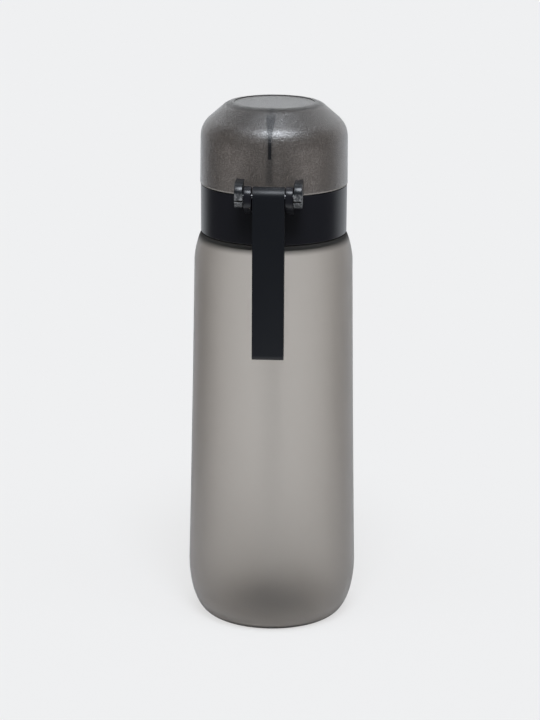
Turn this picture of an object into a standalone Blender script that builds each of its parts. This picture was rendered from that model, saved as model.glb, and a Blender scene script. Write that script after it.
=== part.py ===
"""A drinking bottle with a flavour pod, built piece by piece.

The bottle stands on its foot ring with its axis on Z. A screw collar closes the neck and carries
the drinking head, the flavour pod, a domed lid and a carry strap that hangs on the lid's hinge pin.
The hinge is at the back, on the -Y side, and the lid's latch is at the front, on the +Y side.
All lengths are in metres.
"""

import math

import bmesh
import bpy
from mathutils import Matrix

# Driving dimensions: the bottle
SHOULDER_HEIGHT = 0.1768
BODY_RADIUS = 0.0378
BODY_WALL = 0.0022
FOOT_RADIUS = 0.0284
FOOT_WIDTH = 0.0044
FOOT_SLOPE = 0.0008
BASE_RECESS = 0.0008
CORNER_HEIGHT = 0.0240
SIDE_TAPER = 0.0028
SIDE_BOW = 0.00015
SHOULDER_DROP = 0.0120
SHOULDER_INSET = 0.00035
SHOULDER_POWER = 1.4
NECK_RADIUS = 0.0280

# Driving dimensions: the screw collar
COLLAR_HEIGHT = 0.0212
COLLAR_WALL = 0.0020
COLLAR_GAP = 0.0004
COLLAR_BEVEL = 0.0005
THREAD_SPACE = 0.0021
LEDGE_THICKNESS = 0.0016
LEDGE_WIDTH = 0.0039
DECK_DEPTH = 0.0024
SPIGOT_WALL = 0.0017
SPIGOT_RISE = 0.0026

# Driving dimensions: seals and the drinking head
NECK_SEAL_THICKNESS = 0.0012
NECK_SEAL_WIDTH = 0.0021
HEAD_SEAL_THICKNESS = 0.0008
HEAD_SEAL_WIDTH = 0.0014
HEAD_PLATE_THICKNESS = 0.0014
HEAD_SKIRT_WALL = 0.0014
HEAD_SKIRT_DEPTH = 0.0044
STEM_RADIUS = 0.0046
STEM_BORE_RADIUS = 0.0026
STEM_RISE = 0.0112
NIPPLE_RADIUS = 0.0040
NIPPLE_DROP = 0.0114
VALVE_CAP_RADIUS = 0.0024
VALVE_CAP_THICKNESS = 0.0008
VALVE_STEM_RADIUS = 0.0010
VALVE_BULB_RADIUS = 0.0017
VALVE_BULB_HEIGHT = 0.0015

# Driving dimensions: the mouthpiece and the straw
MOUTHPIECE_WALL = 0.0046
SPOUT_RISE = 0.0071
SPOUT_RADIUS = 0.0080
SPOUT_WAIST = 0.0013
SPOUT_EDGE_RADIUS = 0.0024
STRAW_RADIUS = 0.0035
STRAW_BORE_RADIUS = 0.0025
STRAW_FLOOR_GAP = 0.0050
STRAW_END_CUT = 0.0030
SLEEVE_WALL = 0.0013
SLEEVE_GRIP_LENGTH = 0.0092

# Driving dimensions: the flavour pod
POD_HEIGHT = 0.0102
POD_WALL = 0.0012
POD_LIFT = 0.0040
POD_CAP_THICKNESS = 0.0015
POD_EDGE_RADIUS = 0.0010

# Driving dimensions: the domed lid
DOME_HEIGHT = 0.0355
DOME_WALL = 0.0018
DOME_LIP = 0.00026
DOME_TAPER = 0.00026
DOME_CORNER_RADIUS = 0.0108
DOME_CONE_ANGLE = math.radians(40.9)
DOME_FLAT_RADIUS = 0.0204
DISC_RADIUS = 0.01745
DISC_RECESS = 0.0003
DISC_RIM_WIDTH = 0.0004
RIM_GAP = 0.0004
SPIGOT_CLEARANCE = 0.00046
STOPPER_THICKNESS = 0.0028
STOPPER_RADIUS = 0.0120
HOLDER_WALL = 0.0022
HOLDER_POD_GAP = 0.0011
LEG_DEPTH = 0.0015
LEG_FOOT_HEIGHT = 0.0022
LEG_TOP_WIDTH = 0.0034
LEG_WIDTH = 0.0013
LEG_FOOT_WIDTH = 0.0028
LEG_FOOT_LENGTH = 0.0120
LEG_WEB_HEIGHT = 0.0046

# Driving dimensions: the hinge and the carry strap
PIN_RADIUS = 0.0010
PIN_CLEARANCE = 0.0002
PIN_ABOVE_COLLAR = 0.0016
PIN_END_RECESS = 0.0002
BARREL_RADIUS = 0.0040
KNUCKLE_RADIUS = 0.0042
KNUCKLE_WIDTH = 0.0033
KNUCKLE_WEB_DEPTH = 0.0074
KNUCKLE_WEB_DROP = 0.0005
EAR_RADIUS = 0.0044
EAR_WIDTH = 0.0036
EAR_JAW_HEIGHT = 0.0059
EAR_CHIN_DEPTH = 0.0048
EAR_SLOT_WIDTH = 0.0010
EAR_SLOT_ANGLE = math.radians(20)
STRAP_WIDTH = 0.0138
STRAP_LENGTH = 0.0713
STRAP_LAYER = 0.0016
STRAP_LAYER_GAP = 0.0015
STRAP_BODY_GAP = 0.0017
EYE_RIM_GAP = 0.0016
STRAP_NECK_DROP = 0.0046

# Driving dimensions: the front latch
BUTTON_WIDTH = 0.0140
BUTTON_BACK_GAP = 0.0014
BUTTON_THICKNESS = 0.0027
BUTTON_DROP = 0.0095
BUTTON_HOOK_THICKNESS = 0.0011
BUTTON_NOSE_DEPTH = 0.0010
BUTTON_CROWN = 0.0010
BUTTON_EDGE_RADIUS = 0.0009
LATCH_PIN_RADIUS = 0.0008
LATCH_PIN_OFFSET = 0.0022
LATCH_PIN_BELOW_COLLAR = 0.0079
LATCH_BOSS_RADIUS = 0.0018
CHEEK_WIDTH = 0.0020
CHEEK_HEIGHT = 0.0135
CHEEK_DEPTH = 0.0049
CATCH_WIDTH = 0.0100
CATCH_HEIGHT = 0.0017
CATCH_STAND = 0.00074
CATCH_ABOVE_RIM = 0.0005
SPRING_WIRE_RADIUS = 0.00022
SPRING_COIL_RADIUS = 0.00142
SPRING_PITCH = 0.00085
SPRING_TURNS = 4

# Clearances that many pieces share
CLEARANCE = 0.0003
SIDE_CLEARANCE = 0.0003
OVERRUN = 0.0020
WELD_DISTANCE = 0.000001
SCREW_MERGE = 0.00001

# Shares that shape outlines
ROUND_SHARE = 0.99
EAR_TOP_SHARE = 0.85
EAR_NUB_SHARE = 0.75

# Counts and angles of facets
BODY_SEGMENTS = 52
RING_SEGMENTS = 32
SMALL_SEGMENTS = 28
PIN_SEGMENTS = 16
ARC_STEP = math.radians(16)
SMALL_ARC_STEP = math.radians(24)
SHARP_ANGLE = math.radians(35)
CORNER_STEPS = 8
SHOULDER_STEPS = 5
SIDE_STEPS = 3
COIL_POINTS_PER_TURN = 12

# Heights, stacked up from the surface that the bottle stands on
collar_bottom = SHOULDER_HEIGHT + COLLAR_GAP
collar_top = collar_bottom + COLLAR_HEIGHT
ledge_top = collar_top - DECK_DEPTH
ledge_bottom = ledge_top - LEDGE_THICKNESS
neck_seal_bottom = ledge_bottom - CLEARANCE - NECK_SEAL_THICKNESS
neck_top = neck_seal_bottom - CLEARANCE
head_seal_bottom = ledge_top + CLEARANCE
head_plate_bottom = head_seal_bottom + HEAD_SEAL_THICKNESS + CLEARANCE
head_plate_top = head_plate_bottom + HEAD_PLATE_THICKNESS
spigot_top = collar_top + SPIGOT_RISE
rim_bottom = collar_top + RIM_GAP
dome_top = rim_bottom + DOME_HEIGHT
pin_height = collar_top + PIN_ABOVE_COLLAR
mouthpiece_bottom = head_plate_top + CLEARANCE
pod_bottom = mouthpiece_bottom
pod_top = pod_bottom + POD_HEIGHT
spout_tip = pod_top + SPOUT_RISE
stem_top = head_plate_top + STEM_RISE
stopper_bottom = spout_tip + CLEARANCE
stopper_top = stopper_bottom + STOPPER_THICKNESS
holder_floor = stopper_top + CLEARANCE
holder_top = dome_top - DOME_WALL - CLEARANCE
holder_bottom = pod_top + POD_LIFT + HOLDER_POD_GAP
latch_pin_height = collar_top - LATCH_PIN_BELOW_COLLAR

# Radii, worked out from the neck outwards
collar_bore_radius = NECK_RADIUS + THREAD_SPACE
collar_radius = collar_bore_radius + COLLAR_WALL
shoulder_lip_radius = collar_radius - SHOULDER_INSET
rim_radius = collar_radius + DOME_LIP
spigot_radius = rim_radius - DOME_WALL - SPIGOT_CLEARANCE
spigot_bore_radius = spigot_radius - SPIGOT_WALL
ledge_bore_radius = collar_bore_radius - LEDGE_WIDTH
head_plate_radius = spigot_bore_radius - CLEARANCE
head_skirt_radius = ledge_bore_radius - CLEARANCE
head_skirt_bore_radius = head_skirt_radius - HEAD_SKIRT_WALL
valve_offset = head_skirt_bore_radius - CLEARANCE - VALVE_CAP_RADIUS
pod_radius = valve_offset - VALVE_CAP_RADIUS - CLEARANCE
mouthpiece_bore_radius = STEM_RADIUS + CLEARANCE
mouthpiece_radius = mouthpiece_bore_radius + MOUTHPIECE_WALL
pod_bore_radius = mouthpiece_radius + CLEARANCE
holder_bore_radius = STOPPER_RADIUS + CLEARANCE
holder_radius = holder_bore_radius + HOLDER_WALL

# The rounded band between the rim of the lid's flat top and its cone, tangent to both
band_reach = DOME_FLAT_RADIUS - DISC_RADIUS - DISC_RIM_WIDTH
dome_band_radius = band_reach / math.tan(DOME_CONE_ANGLE / 2)

# The strap, hung from the hinge pin
strap_bottom = pin_height - STRAP_LENGTH
strap_thickness = STRAP_LAYER + STRAP_LAYER_GAP + STRAP_LAYER


def side_radius(height):
    """Outer radius of the bottle's side wall, between its base corner and its shoulder."""
    shoulder_start = SHOULDER_HEIGHT - SHOULDER_DROP
    share = (height - CORNER_HEIGHT) / (shoulder_start - CORNER_HEIGHT)
    bow = 4 * share * (1 - share) * SIDE_BOW
    return BODY_RADIUS - share * SIDE_TAPER - bow


# The hinge line, far enough out for the strap to clear the bottle's side, and its eye the lid's rim
clear_of_side = side_radius(strap_bottom) + STRAP_BODY_GAP + strap_thickness - BARREL_RADIUS
clear_of_rim = rim_radius + EYE_RIM_GAP + BARREL_RADIUS
hinge_offset = max(clear_of_side, clear_of_rim)
knuckle_inner_x = STRAP_WIDTH / 2 + SIDE_CLEARANCE
knuckle_outer_x = knuckle_inner_x + KNUCKLE_WIDTH
ear_inner_x = knuckle_outer_x + SIDE_CLEARANCE
ear_outer_x = ear_inner_x + EAR_WIDTH

# The latch line, at the front of the collar
latch_pin_offset = collar_radius + LATCH_PIN_OFFSET
button_back = rim_radius + CATCH_STAND + CLEARANCE + BUTTON_NOSE_DEPTH
catch_bottom = rim_bottom + CATCH_ABOVE_RIM
catch_top = catch_bottom + CATCH_HEIGHT
nose_bottom = catch_top + CLEARANCE
nose_top = nose_bottom + BUTTON_HOOK_THICKNESS


# Scene, collections and materials
def clear_scene():
    for old in list(bpy.data.objects):
        bpy.data.objects.remove(old, do_unlink=True)


def new_collection(name, hidden=False):
    collection = bpy.data.collections.new(name)
    bpy.context.scene.collection.children.link(collection)
    collection.hide_render = hidden
    return collection


def new_material(name, colour, roughness, metallic=0.0, alpha=1.0):
    material = bpy.data.materials.new(name)
    material.use_nodes = True
    shader = material.node_tree.nodes["Principled BSDF"]
    shader.inputs["Base Color"].default_value = (*colour, 1.0)
    shader.inputs["Roughness"].default_value = roughness
    shader.inputs["Metallic"].default_value = metallic
    shader.inputs["Alpha"].default_value = alpha
    material.diffuse_color = (*colour, alpha)
    return material


def add_object(name, data, collection, material=None):
    made = bpy.data.objects.new(name, data)
    collection.objects.link(made)
    if material:
        data.materials.append(material)
    if collection is cutters:
        made.hide_render = True
        made.display_type = "WIRE"
    return made


# Outlines
def filleted(corners, step=ARC_STEP, closed=True):
    """Points of an outline given as (x, y, fillet radius) corners."""
    points = []
    count = len(corners)
    for index, (x, y, radius) in enumerate(corners):
        at_end = not closed and index in (0, count - 1)
        if radius <= 0 or at_end:
            points.append((x, y))
            continue
        before = corners[index - 1]
        after = corners[(index + 1) % count]
        back = math.atan2(before[1] - y, before[0] - x)
        ahead = math.atan2(after[1] - y, after[0] - x)
        opening = (ahead - back) % math.tau
        side = 1 if opening < math.pi else -1
        reach = side * radius / math.sin(opening / 2)
        centre_x = x + math.cos(back + opening / 2) * reach
        centre_y = y + math.sin(back + opening / 2) * reach
        middle = math.atan2(y - centre_y, x - centre_x)
        sweep = math.pi - opening
        steps = max(1, math.ceil(abs(sweep) / step))
        for i in range(steps + 1):
            angle = middle + sweep / 2 - sweep * i / steps
            points.append((centre_x + radius * math.cos(angle), centre_y + radius * math.sin(angle)))
    return points


def circle(centre, radius, count):
    return [
        (centre[0] + radius * math.cos(math.tau * i / count), centre[1] + radius * math.sin(math.tau * i / count))
        for i in range(count)
    ]


# Solids
def smooth(mesh):
    mesh.shade_smooth()
    mesh.set_sharp_from_angle(angle=SHARP_ANGLE)


def turned(name, section, material, segments=RING_SEGMENTS, closed=True, collection=None):
    """A turned piece: its section lies in the XZ plane, drawn down its outer side."""
    mesh = bpy.data.meshes.new(name)
    edges = [(i, i + 1) for i in range(len(section) - 1)]
    if closed:
        edges.append((len(section) - 1, 0))
    mesh.from_pydata([(x, 0, z) for x, z in section], edges, [])
    made = add_object(name, mesh, collection or parts, material)
    screw = made.modifiers.new("Turn", "SCREW")
    screw.axis = "Z"
    screw.angle = math.tau
    screw.steps = segments
    screw.render_steps = segments
    screw.use_smooth_shade = True
    screw.use_merge_vertices = True
    screw.merge_threshold = SCREW_MERGE
    return made


def shelled(made, thickness):
    """Thickens an open turned surface inwards."""
    shell = made.modifiers.new("Wall", "SOLIDIFY")
    shell.thickness = thickness
    shell.offset = -1
    shell.use_even_offset = True
    return made


def mesh_from_curve(curve_object, collection, material):
    """Replaces a curve by a welded mesh, so that it can be cut or joined."""
    bpy.context.view_layer.update()
    graph = bpy.context.evaluated_depsgraph_get()
    mesh = bpy.data.meshes.new_from_object(curve_object.evaluated_get(graph))
    name = curve_object.name
    place = curve_object.matrix_world.copy()
    bpy.data.objects.remove(curve_object, do_unlink=True)
    welded = bmesh.new()
    welded.from_mesh(mesh)
    bmesh.ops.remove_doubles(welded, verts=welded.verts, dist=WELD_DISTANCE)
    bmesh.ops.recalc_face_normals(welded, faces=welded.faces)
    if welded.calc_volume(signed=True) < 0:
        bmesh.ops.reverse_faces(welded, faces=welded.faces)
    welded.to_mesh(mesh)
    welded.free()
    smooth(mesh)
    mesh.materials.clear()
    mesh.name = name
    made = add_object(name, mesh, collection, material)
    made.matrix_world = place
    return made


SIDE_VIEW = Matrix(((0, 0, 1, 0), (1, 0, 0, 0), (0, 1, 0, 0), (0, 0, 0, 1)))
FRONT_VIEW = Matrix(((1, 0, 0, 0), (0, 0, -1, 0), (0, 1, 0, 0), (0, 0, 0, 1)))


def plate(name, outlines, width, material=None, collection=None, facing="X", middle=0.0):
    """A flat outline given a width along X or Y. Its points are (y, z), or (x, z) when it faces Y."""
    collection = collection or parts
    curve = bpy.data.curves.new(name, "CURVE")
    curve.dimensions = "2D"
    curve.fill_mode = "BOTH"
    curve.extrude = width / 2
    for outline in outlines:
        spline = curve.splines.new("POLY")
        spline.points.add(len(outline) - 1)
        for point, (across, up) in zip(spline.points, outline):
            point.co = (across, up, 0, 1)
        spline.use_cyclic_u = True
    made = add_object(name, curve, collection)
    if facing == "X":
        made.matrix_world = Matrix.Translation((middle, 0, 0)) @ SIDE_VIEW
    else:
        made.matrix_world = Matrix.Translation((0, middle, 0)) @ FRONT_VIEW
    return mesh_from_curve(made, collection, material)


def crosswise_rod(name, radius, length, across, up, segments, collection=None, material=None):
    """A round rod along X, centred on X = 0, with its axis at the given Y and Z."""
    mesh = bpy.data.meshes.new(name)
    rod = bmesh.new()
    bmesh.ops.create_cone(
        rod, cap_ends=True, segments=segments, radius1=radius, radius2=radius, depth=length,
        matrix=Matrix.Rotation(math.pi / 2, 4, "Y"),
    )
    rod.to_mesh(mesh)
    rod.free()
    smooth(mesh)
    made = add_object(name, mesh, collection or parts, material)
    made.location = (0, across, up)
    return made


def block(name, size, centre, tilt=0.0, collection=None):
    """A plain block, turned by tilt about X."""
    mesh = bpy.data.meshes.new(name)
    cube = bmesh.new()
    bmesh.ops.create_cube(cube, size=1)
    bmesh.ops.scale(cube, vec=size, verts=cube.verts)
    cube.to_mesh(mesh)
    cube.free()
    made = add_object(name, mesh, collection or cutters)
    made.location = centre
    made.rotation_euler = (tilt, 0, 0)
    return made


def combine(made, other, operation):
    step = made.modifiers.new(f"{operation.title()} {other.name}", "BOOLEAN")
    step.operation = operation
    step.solver = "EXACT"
    step.object = other
    return made


def joint_axis(name, place):
    """An empty on a joint's axis, which the moving pieces hang from."""
    empty = bpy.data.objects.new(name, None)
    parts.objects.link(empty)
    empty.location = place
    empty.empty_display_size = PIN_RADIUS
    return empty


def carry(empty, *pieces):
    for piece in pieces:
        piece.parent = empty
        piece.matrix_parent_inverse = Matrix.Translation(empty.location).inverted()


# The bottle
def make_bottle():
    """One blown shell: neck, shoulder, tapering side, rounded base corner, foot ring and base."""
    shoulder_start = SHOULDER_HEIGHT - SHOULDER_DROP
    section = [(NECK_RADIUS, neck_top), (NECK_RADIUS, SHOULDER_HEIGHT)]
    lip_to_side = side_radius(shoulder_start) - shoulder_lip_radius
    for i in range(SHOULDER_STEPS + 1):
        share = math.cos(math.pi / 2 * i / SHOULDER_STEPS)
        out = (1 - share**SHOULDER_POWER) ** (1 / SHOULDER_POWER)
        section.append((shoulder_lip_radius + out * lip_to_side, shoulder_start + share * SHOULDER_DROP))
    for i in range(1, SIDE_STEPS):
        height = shoulder_start + (CORNER_HEIGHT - shoulder_start) * i / SIDE_STEPS
        section.append((side_radius(height), height))
    for i in range(CORNER_STEPS + 1):
        turn = math.pi / 2 * i / CORNER_STEPS
        section.append((
            FOOT_RADIUS + (BODY_RADIUS - FOOT_RADIUS) * math.cos(turn),
            CORNER_HEIGHT * (1 - math.sin(turn)),
        ))
    foot_inner_radius = FOOT_RADIUS - FOOT_WIDTH
    section.append((foot_inner_radius, 0))
    section.append((foot_inner_radius - FOOT_SLOPE, BASE_RECESS))
    section.append((0, BASE_RECESS))
    bottle = turned("bottle_body", section, frosted, BODY_SEGMENTS, closed=False)
    return shelled(bottle, BODY_WALL)


def make_neck_seal():
    outer = collar_bore_radius - THREAD_SPACE
    inner = outer - NECK_SEAL_WIDTH + CLEARANCE
    top = neck_seal_bottom + NECK_SEAL_THICKNESS
    section = [(outer, top), (outer, neck_seal_bottom), (inner, neck_seal_bottom), (inner, top)]
    return turned("neck_seal", section, silicone)


def wall_root(inner_radius, outer_radius, near_x, far_x):
    """How far out a web starts, so that its flat end lies within a round wall."""
    inside = math.sqrt(inner_radius**2 - near_x**2)
    outside = math.sqrt(outer_radius**2 - far_x**2)
    return (inside + outside) / 2


# The screw collar
def hinge_knuckle(name, middle):
    """One hinge knuckle with the web that joins it to the collar's wall."""
    root = -wall_root(collar_bore_radius, collar_radius, knuckle_inner_x, knuckle_outer_x)
    front = -hinge_offset - KNUCKLE_RADIUS
    back = -hinge_offset + KNUCKLE_RADIUS
    top = pin_height + KNUCKLE_RADIUS
    web_top = collar_top - KNUCKLE_WEB_DROP
    nearly_round = KNUCKLE_RADIUS * ROUND_SHARE
    outline = filleted([
        (front, top, nearly_round),
        (front, pin_height - KNUCKLE_RADIUS, nearly_round),
        (root, web_top - KNUCKLE_WEB_DEPTH, 0),
        (root, web_top, 0),
        (back, web_top, 0),
        (back, top, nearly_round),
    ])
    return plate(name, [outline], KNUCKLE_WIDTH, collection=cutters, middle=middle)


def latch_cheek(name, middle):
    """One of the two cheeks that hold the latch pin."""
    cheek_inner_x = BUTTON_WIDTH / 2 + SIDE_CLEARANCE
    cheek_outer_x = cheek_inner_x + CHEEK_WIDTH
    root = wall_root(collar_bore_radius, collar_radius, cheek_inner_x, cheek_outer_x)
    front = collar_radius + CHEEK_DEPTH
    top = latch_pin_height + CHEEK_HEIGHT / 2
    bottom = latch_pin_height - CHEEK_HEIGHT / 2
    rounding = CHEEK_DEPTH / 2
    outline = filleted([(root, top, 0), (root, bottom, 0), (front, bottom, rounding), (front, top, rounding)])
    return plate(name, [outline], CHEEK_WIDTH, collection=cutters, middle=middle)


def make_collar():
    section = [
        (collar_radius, collar_top),
        (collar_radius, collar_bottom + COLLAR_BEVEL),
        (collar_radius - COLLAR_BEVEL, collar_bottom),
        (collar_bore_radius, collar_bottom),
        (collar_bore_radius, ledge_bottom),
        (ledge_bore_radius, ledge_bottom),
        (ledge_bore_radius, ledge_top),
        (spigot_bore_radius, ledge_top),
        (spigot_bore_radius, spigot_top),
        (spigot_radius, spigot_top),
        (spigot_radius, collar_top),
    ]
    collar = turned("screw_collar", section, black_plastic, BODY_SEGMENTS)
    knuckle_middle = (knuckle_inner_x + knuckle_outer_x) / 2
    cheek_middle = BUTTON_WIDTH / 2 + SIDE_CLEARANCE + CHEEK_WIDTH / 2
    for side, name in ((-1, "left"), (1, "right")):
        combine(collar, hinge_knuckle(f"knuckle_{name}", side * knuckle_middle), "UNION")
        combine(collar, latch_cheek(f"cheek_{name}", side * cheek_middle), "UNION")
    hinge_bore = crosswise_rod(
        "hinge_bore", PIN_RADIUS + PIN_CLEARANCE, 2 * knuckle_outer_x + OVERRUN,
        -hinge_offset, pin_height, PIN_SEGMENTS, cutters,
    )
    latch_bore = crosswise_rod(
        "latch_bore", LATCH_PIN_RADIUS + PIN_CLEARANCE, BUTTON_WIDTH + 2 * CHEEK_WIDTH + OVERRUN,
        latch_pin_offset, latch_pin_height, PIN_SEGMENTS, cutters,
    )
    combine(collar, hinge_bore, "DIFFERENCE")
    combine(collar, latch_bore, "DIFFERENCE")
    return collar


# The drinking head, its seals, valve and straw
def make_drink_head():
    """The plate under the pod, with a stem up into the mouthpiece and a nipple down for the straw."""
    section = [
        (STEM_RADIUS, stem_top),
        (STEM_RADIUS, head_plate_top),
        (head_plate_radius, head_plate_top),
        (head_plate_radius, head_plate_bottom),
        (head_skirt_radius, head_plate_bottom),
        (head_skirt_radius, head_plate_bottom - HEAD_SKIRT_DEPTH),
        (head_skirt_bore_radius, head_plate_bottom - HEAD_SKIRT_DEPTH),
        (head_skirt_bore_radius, head_plate_bottom),
        (NIPPLE_RADIUS, head_plate_bottom),
        (NIPPLE_RADIUS, head_plate_bottom - NIPPLE_DROP),
        (STEM_BORE_RADIUS, head_plate_bottom - NIPPLE_DROP),
        (STEM_BORE_RADIUS, stem_top),
    ]
    head = turned("drink_head", section, pale_plastic)
    hole_bottom = head_plate_bottom - OVERRUN
    hole_radius = VALVE_STEM_RADIUS + CLEARANCE
    hole = turned("valve_hole", [
        (0, head_plate_top + OVERRUN), (hole_radius, head_plate_top + OVERRUN),
        (hole_radius, hole_bottom), (0, hole_bottom),
    ], None, PIN_SEGMENTS, closed=False, collection=cutters)
    hole.location = (0, valve_offset, 0)
    return combine(head, hole, "DIFFERENCE")


def make_head_seal():
    outer = head_plate_radius - CLEARANCE
    inner = outer - HEAD_SEAL_WIDTH
    top = head_seal_bottom + HEAD_SEAL_THICKNESS
    section = [(outer, top), (outer, head_seal_bottom), (inner, head_seal_bottom), (inner, top)]
    return turned("head_seal", section, silicone)


def make_air_valve():
    """A small umbrella valve: its cap lies on the head plate, and its bulb holds it from below."""
    cap_bottom = head_plate_top + CLEARANCE
    bulb_top = head_plate_bottom - CLEARANCE
    section = [
        (0, cap_bottom + VALVE_CAP_THICKNESS),
        (VALVE_STEM_RADIUS, cap_bottom + VALVE_CAP_THICKNESS),
        (VALVE_CAP_RADIUS, cap_bottom + CLEARANCE),
        (VALVE_CAP_RADIUS, cap_bottom),
        (VALVE_STEM_RADIUS, cap_bottom),
        (VALVE_STEM_RADIUS, bulb_top),
        (VALVE_BULB_RADIUS, bulb_top),
        (VALVE_STEM_RADIUS, bulb_top - VALVE_BULB_HEIGHT),
        (0, bulb_top - VALVE_BULB_HEIGHT),
    ]
    valve = turned("air_valve", section, silicone, PIN_SEGMENTS, closed=False)
    valve.location = (0, valve_offset, 0)
    return valve


def make_mouthpiece():
    """A soft spout over the stem: straight where the pod slides, waisted and rounded at the tip."""
    waist = pod_top + SPOUT_WAIST
    section = filleted([
        (STEM_BORE_RADIUS, spout_tip, 0),
        (SPOUT_RADIUS, spout_tip, SPOUT_EDGE_RADIUS),
        (SPOUT_RADIUS, waist + SPOUT_WAIST, SPOUT_WAIST),
        (mouthpiece_radius, waist, SPOUT_WAIST / 2),
        (mouthpiece_radius, mouthpiece_bottom, 0),
        (mouthpiece_bore_radius, mouthpiece_bottom, 0),
        (mouthpiece_bore_radius, stem_top + CLEARANCE, 0),
        (STEM_BORE_RADIUS, stem_top + CLEARANCE, 0),
    ], SMALL_ARC_STEP)
    return turned("mouthpiece", section, pale_silicone, SMALL_SEGMENTS)


def make_straw():
    """A plain tube down to the base, cut at a slant there so that it can't seal itself."""
    top = head_plate_bottom - NIPPLE_DROP - CLEARANCE - CLEARANCE
    bottom = BASE_RECESS + BODY_WALL + STRAW_FLOOR_GAP
    section = [
        (STRAW_RADIUS, top), (STRAW_RADIUS, bottom), (STRAW_BORE_RADIUS, bottom), (STRAW_BORE_RADIUS, top),
    ]
    straw = turned("straw", section, clear_plastic, PIN_SEGMENTS)
    cut_length = 2 * STRAW_RADIUS + 2 * OVERRUN
    slant = math.atan2(STRAW_END_CUT, 2 * STRAW_RADIUS)
    cut_centre = bottom + STRAW_END_CUT / 2 - cut_length / 2 * math.cos(slant)
    cutter = block(
        "straw_end_cut", (cut_length, cut_length * 2, cut_length),
        (0, cut_length / 2 * math.sin(slant), cut_centre), tilt=slant,
    )
    return combine(straw, cutter, "DIFFERENCE")


def make_straw_sleeve():
    """A soft sleeve that holds the straw on the head's nipple."""
    nipple_bottom = head_plate_bottom - NIPPLE_DROP
    grip_radius = NIPPLE_RADIUS + CLEARANCE
    outer = grip_radius + SLEEVE_WALL
    straw_grip = STRAW_RADIUS + CLEARANCE
    top = nipple_bottom + NIPPLE_DROP - HEAD_SKIRT_DEPTH
    bottom = nipple_bottom - SLEEVE_GRIP_LENGTH
    step = nipple_bottom - CLEARANCE
    section = [
        (outer, top), (outer, bottom), (straw_grip, bottom), (straw_grip, step), (grip_radius, step),
        (grip_radius, top),
    ]
    return turned("straw_sleeve", section, silicone, SMALL_SEGMENTS)


# The flavour pod
def make_pod_case():
    """A ring-shaped cup that slides on the mouthpiece."""
    inner_top = pod_top - POD_CAP_THICKNESS - CLEARANCE
    section = filleted([
        (pod_radius, pod_top, 0),
        (pod_radius, pod_bottom, POD_EDGE_RADIUS),
        (pod_bore_radius, pod_bottom, 0),
        (pod_bore_radius, inner_top, 0),
        (pod_bore_radius + POD_WALL, inner_top, 0),
        (pod_bore_radius + POD_WALL, pod_bottom + POD_WALL, 0),
        (pod_radius - POD_WALL, pod_bottom + POD_WALL, 0),
        (pod_radius - POD_WALL, pod_top, 0),
    ], SMALL_ARC_STEP)
    return turned("pod_case", section, pod_plastic)


def make_aroma_ring():
    inner = pod_bore_radius + POD_WALL + CLEARANCE
    outer = pod_radius - POD_WALL - CLEARANCE
    bottom = pod_bottom + POD_WALL + CLEARANCE
    top = pod_top - POD_CAP_THICKNESS - 2 * CLEARANCE
    return turned("aroma_ring", [(outer, top), (outer, bottom), (inner, bottom), (inner, top)], felt)


def make_pod_cap():
    outer = pod_radius - POD_WALL - CLEARANCE
    bottom = pod_top - POD_CAP_THICKNESS
    section = [(outer, pod_top), (outer, bottom), (pod_bore_radius, bottom), (pod_bore_radius, pod_top)]
    return turned("pod_cap", section, pod_plastic)


# The domed lid
def dome_outline():
    """The dome's outer side, from the middle of its flat top down to its rim."""
    wall_radius = rim_radius - DOME_TAPER
    cone_height = (wall_radius - DOME_FLAT_RADIUS) * math.tan(DOME_CONE_ANGLE)
    return [
        (0, dome_top, 0),
        (DOME_FLAT_RADIUS, dome_top, dome_band_radius),
        (wall_radius, dome_top - cone_height, DOME_CORNER_RADIUS),
        (rim_radius, rim_bottom, 0),
    ]


def hinge_ear(name, middle):
    """One clip that snaps over the hinge pin: a jaw from the dome's wall and a nub below the pin."""
    root = -wall_root(rim_radius - DOME_WALL, rim_radius - DOME_TAPER, ear_inner_x, ear_outer_x)
    front = -hinge_offset - EAR_RADIUS
    back = -hinge_offset + EAR_RADIUS
    top = pin_height + EAR_JAW_HEIGHT
    bottom = pin_height - EAR_CHIN_DEPTH
    jaw_bottom = rim_bottom + CLEARANCE
    outline = filleted([
        (front, top, EAR_JAW_HEIGHT * EAR_TOP_SHARE),
        (front, bottom, EAR_RADIUS * EAR_NUB_SHARE),
        (back, bottom, EAR_RADIUS * EAR_NUB_SHARE),
        (back, jaw_bottom, 0),
        (root, jaw_bottom, 0),
        (root, top, 0),
    ])
    return plate(name, [outline], EAR_WIDTH, collection=cutters, middle=middle)


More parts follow.
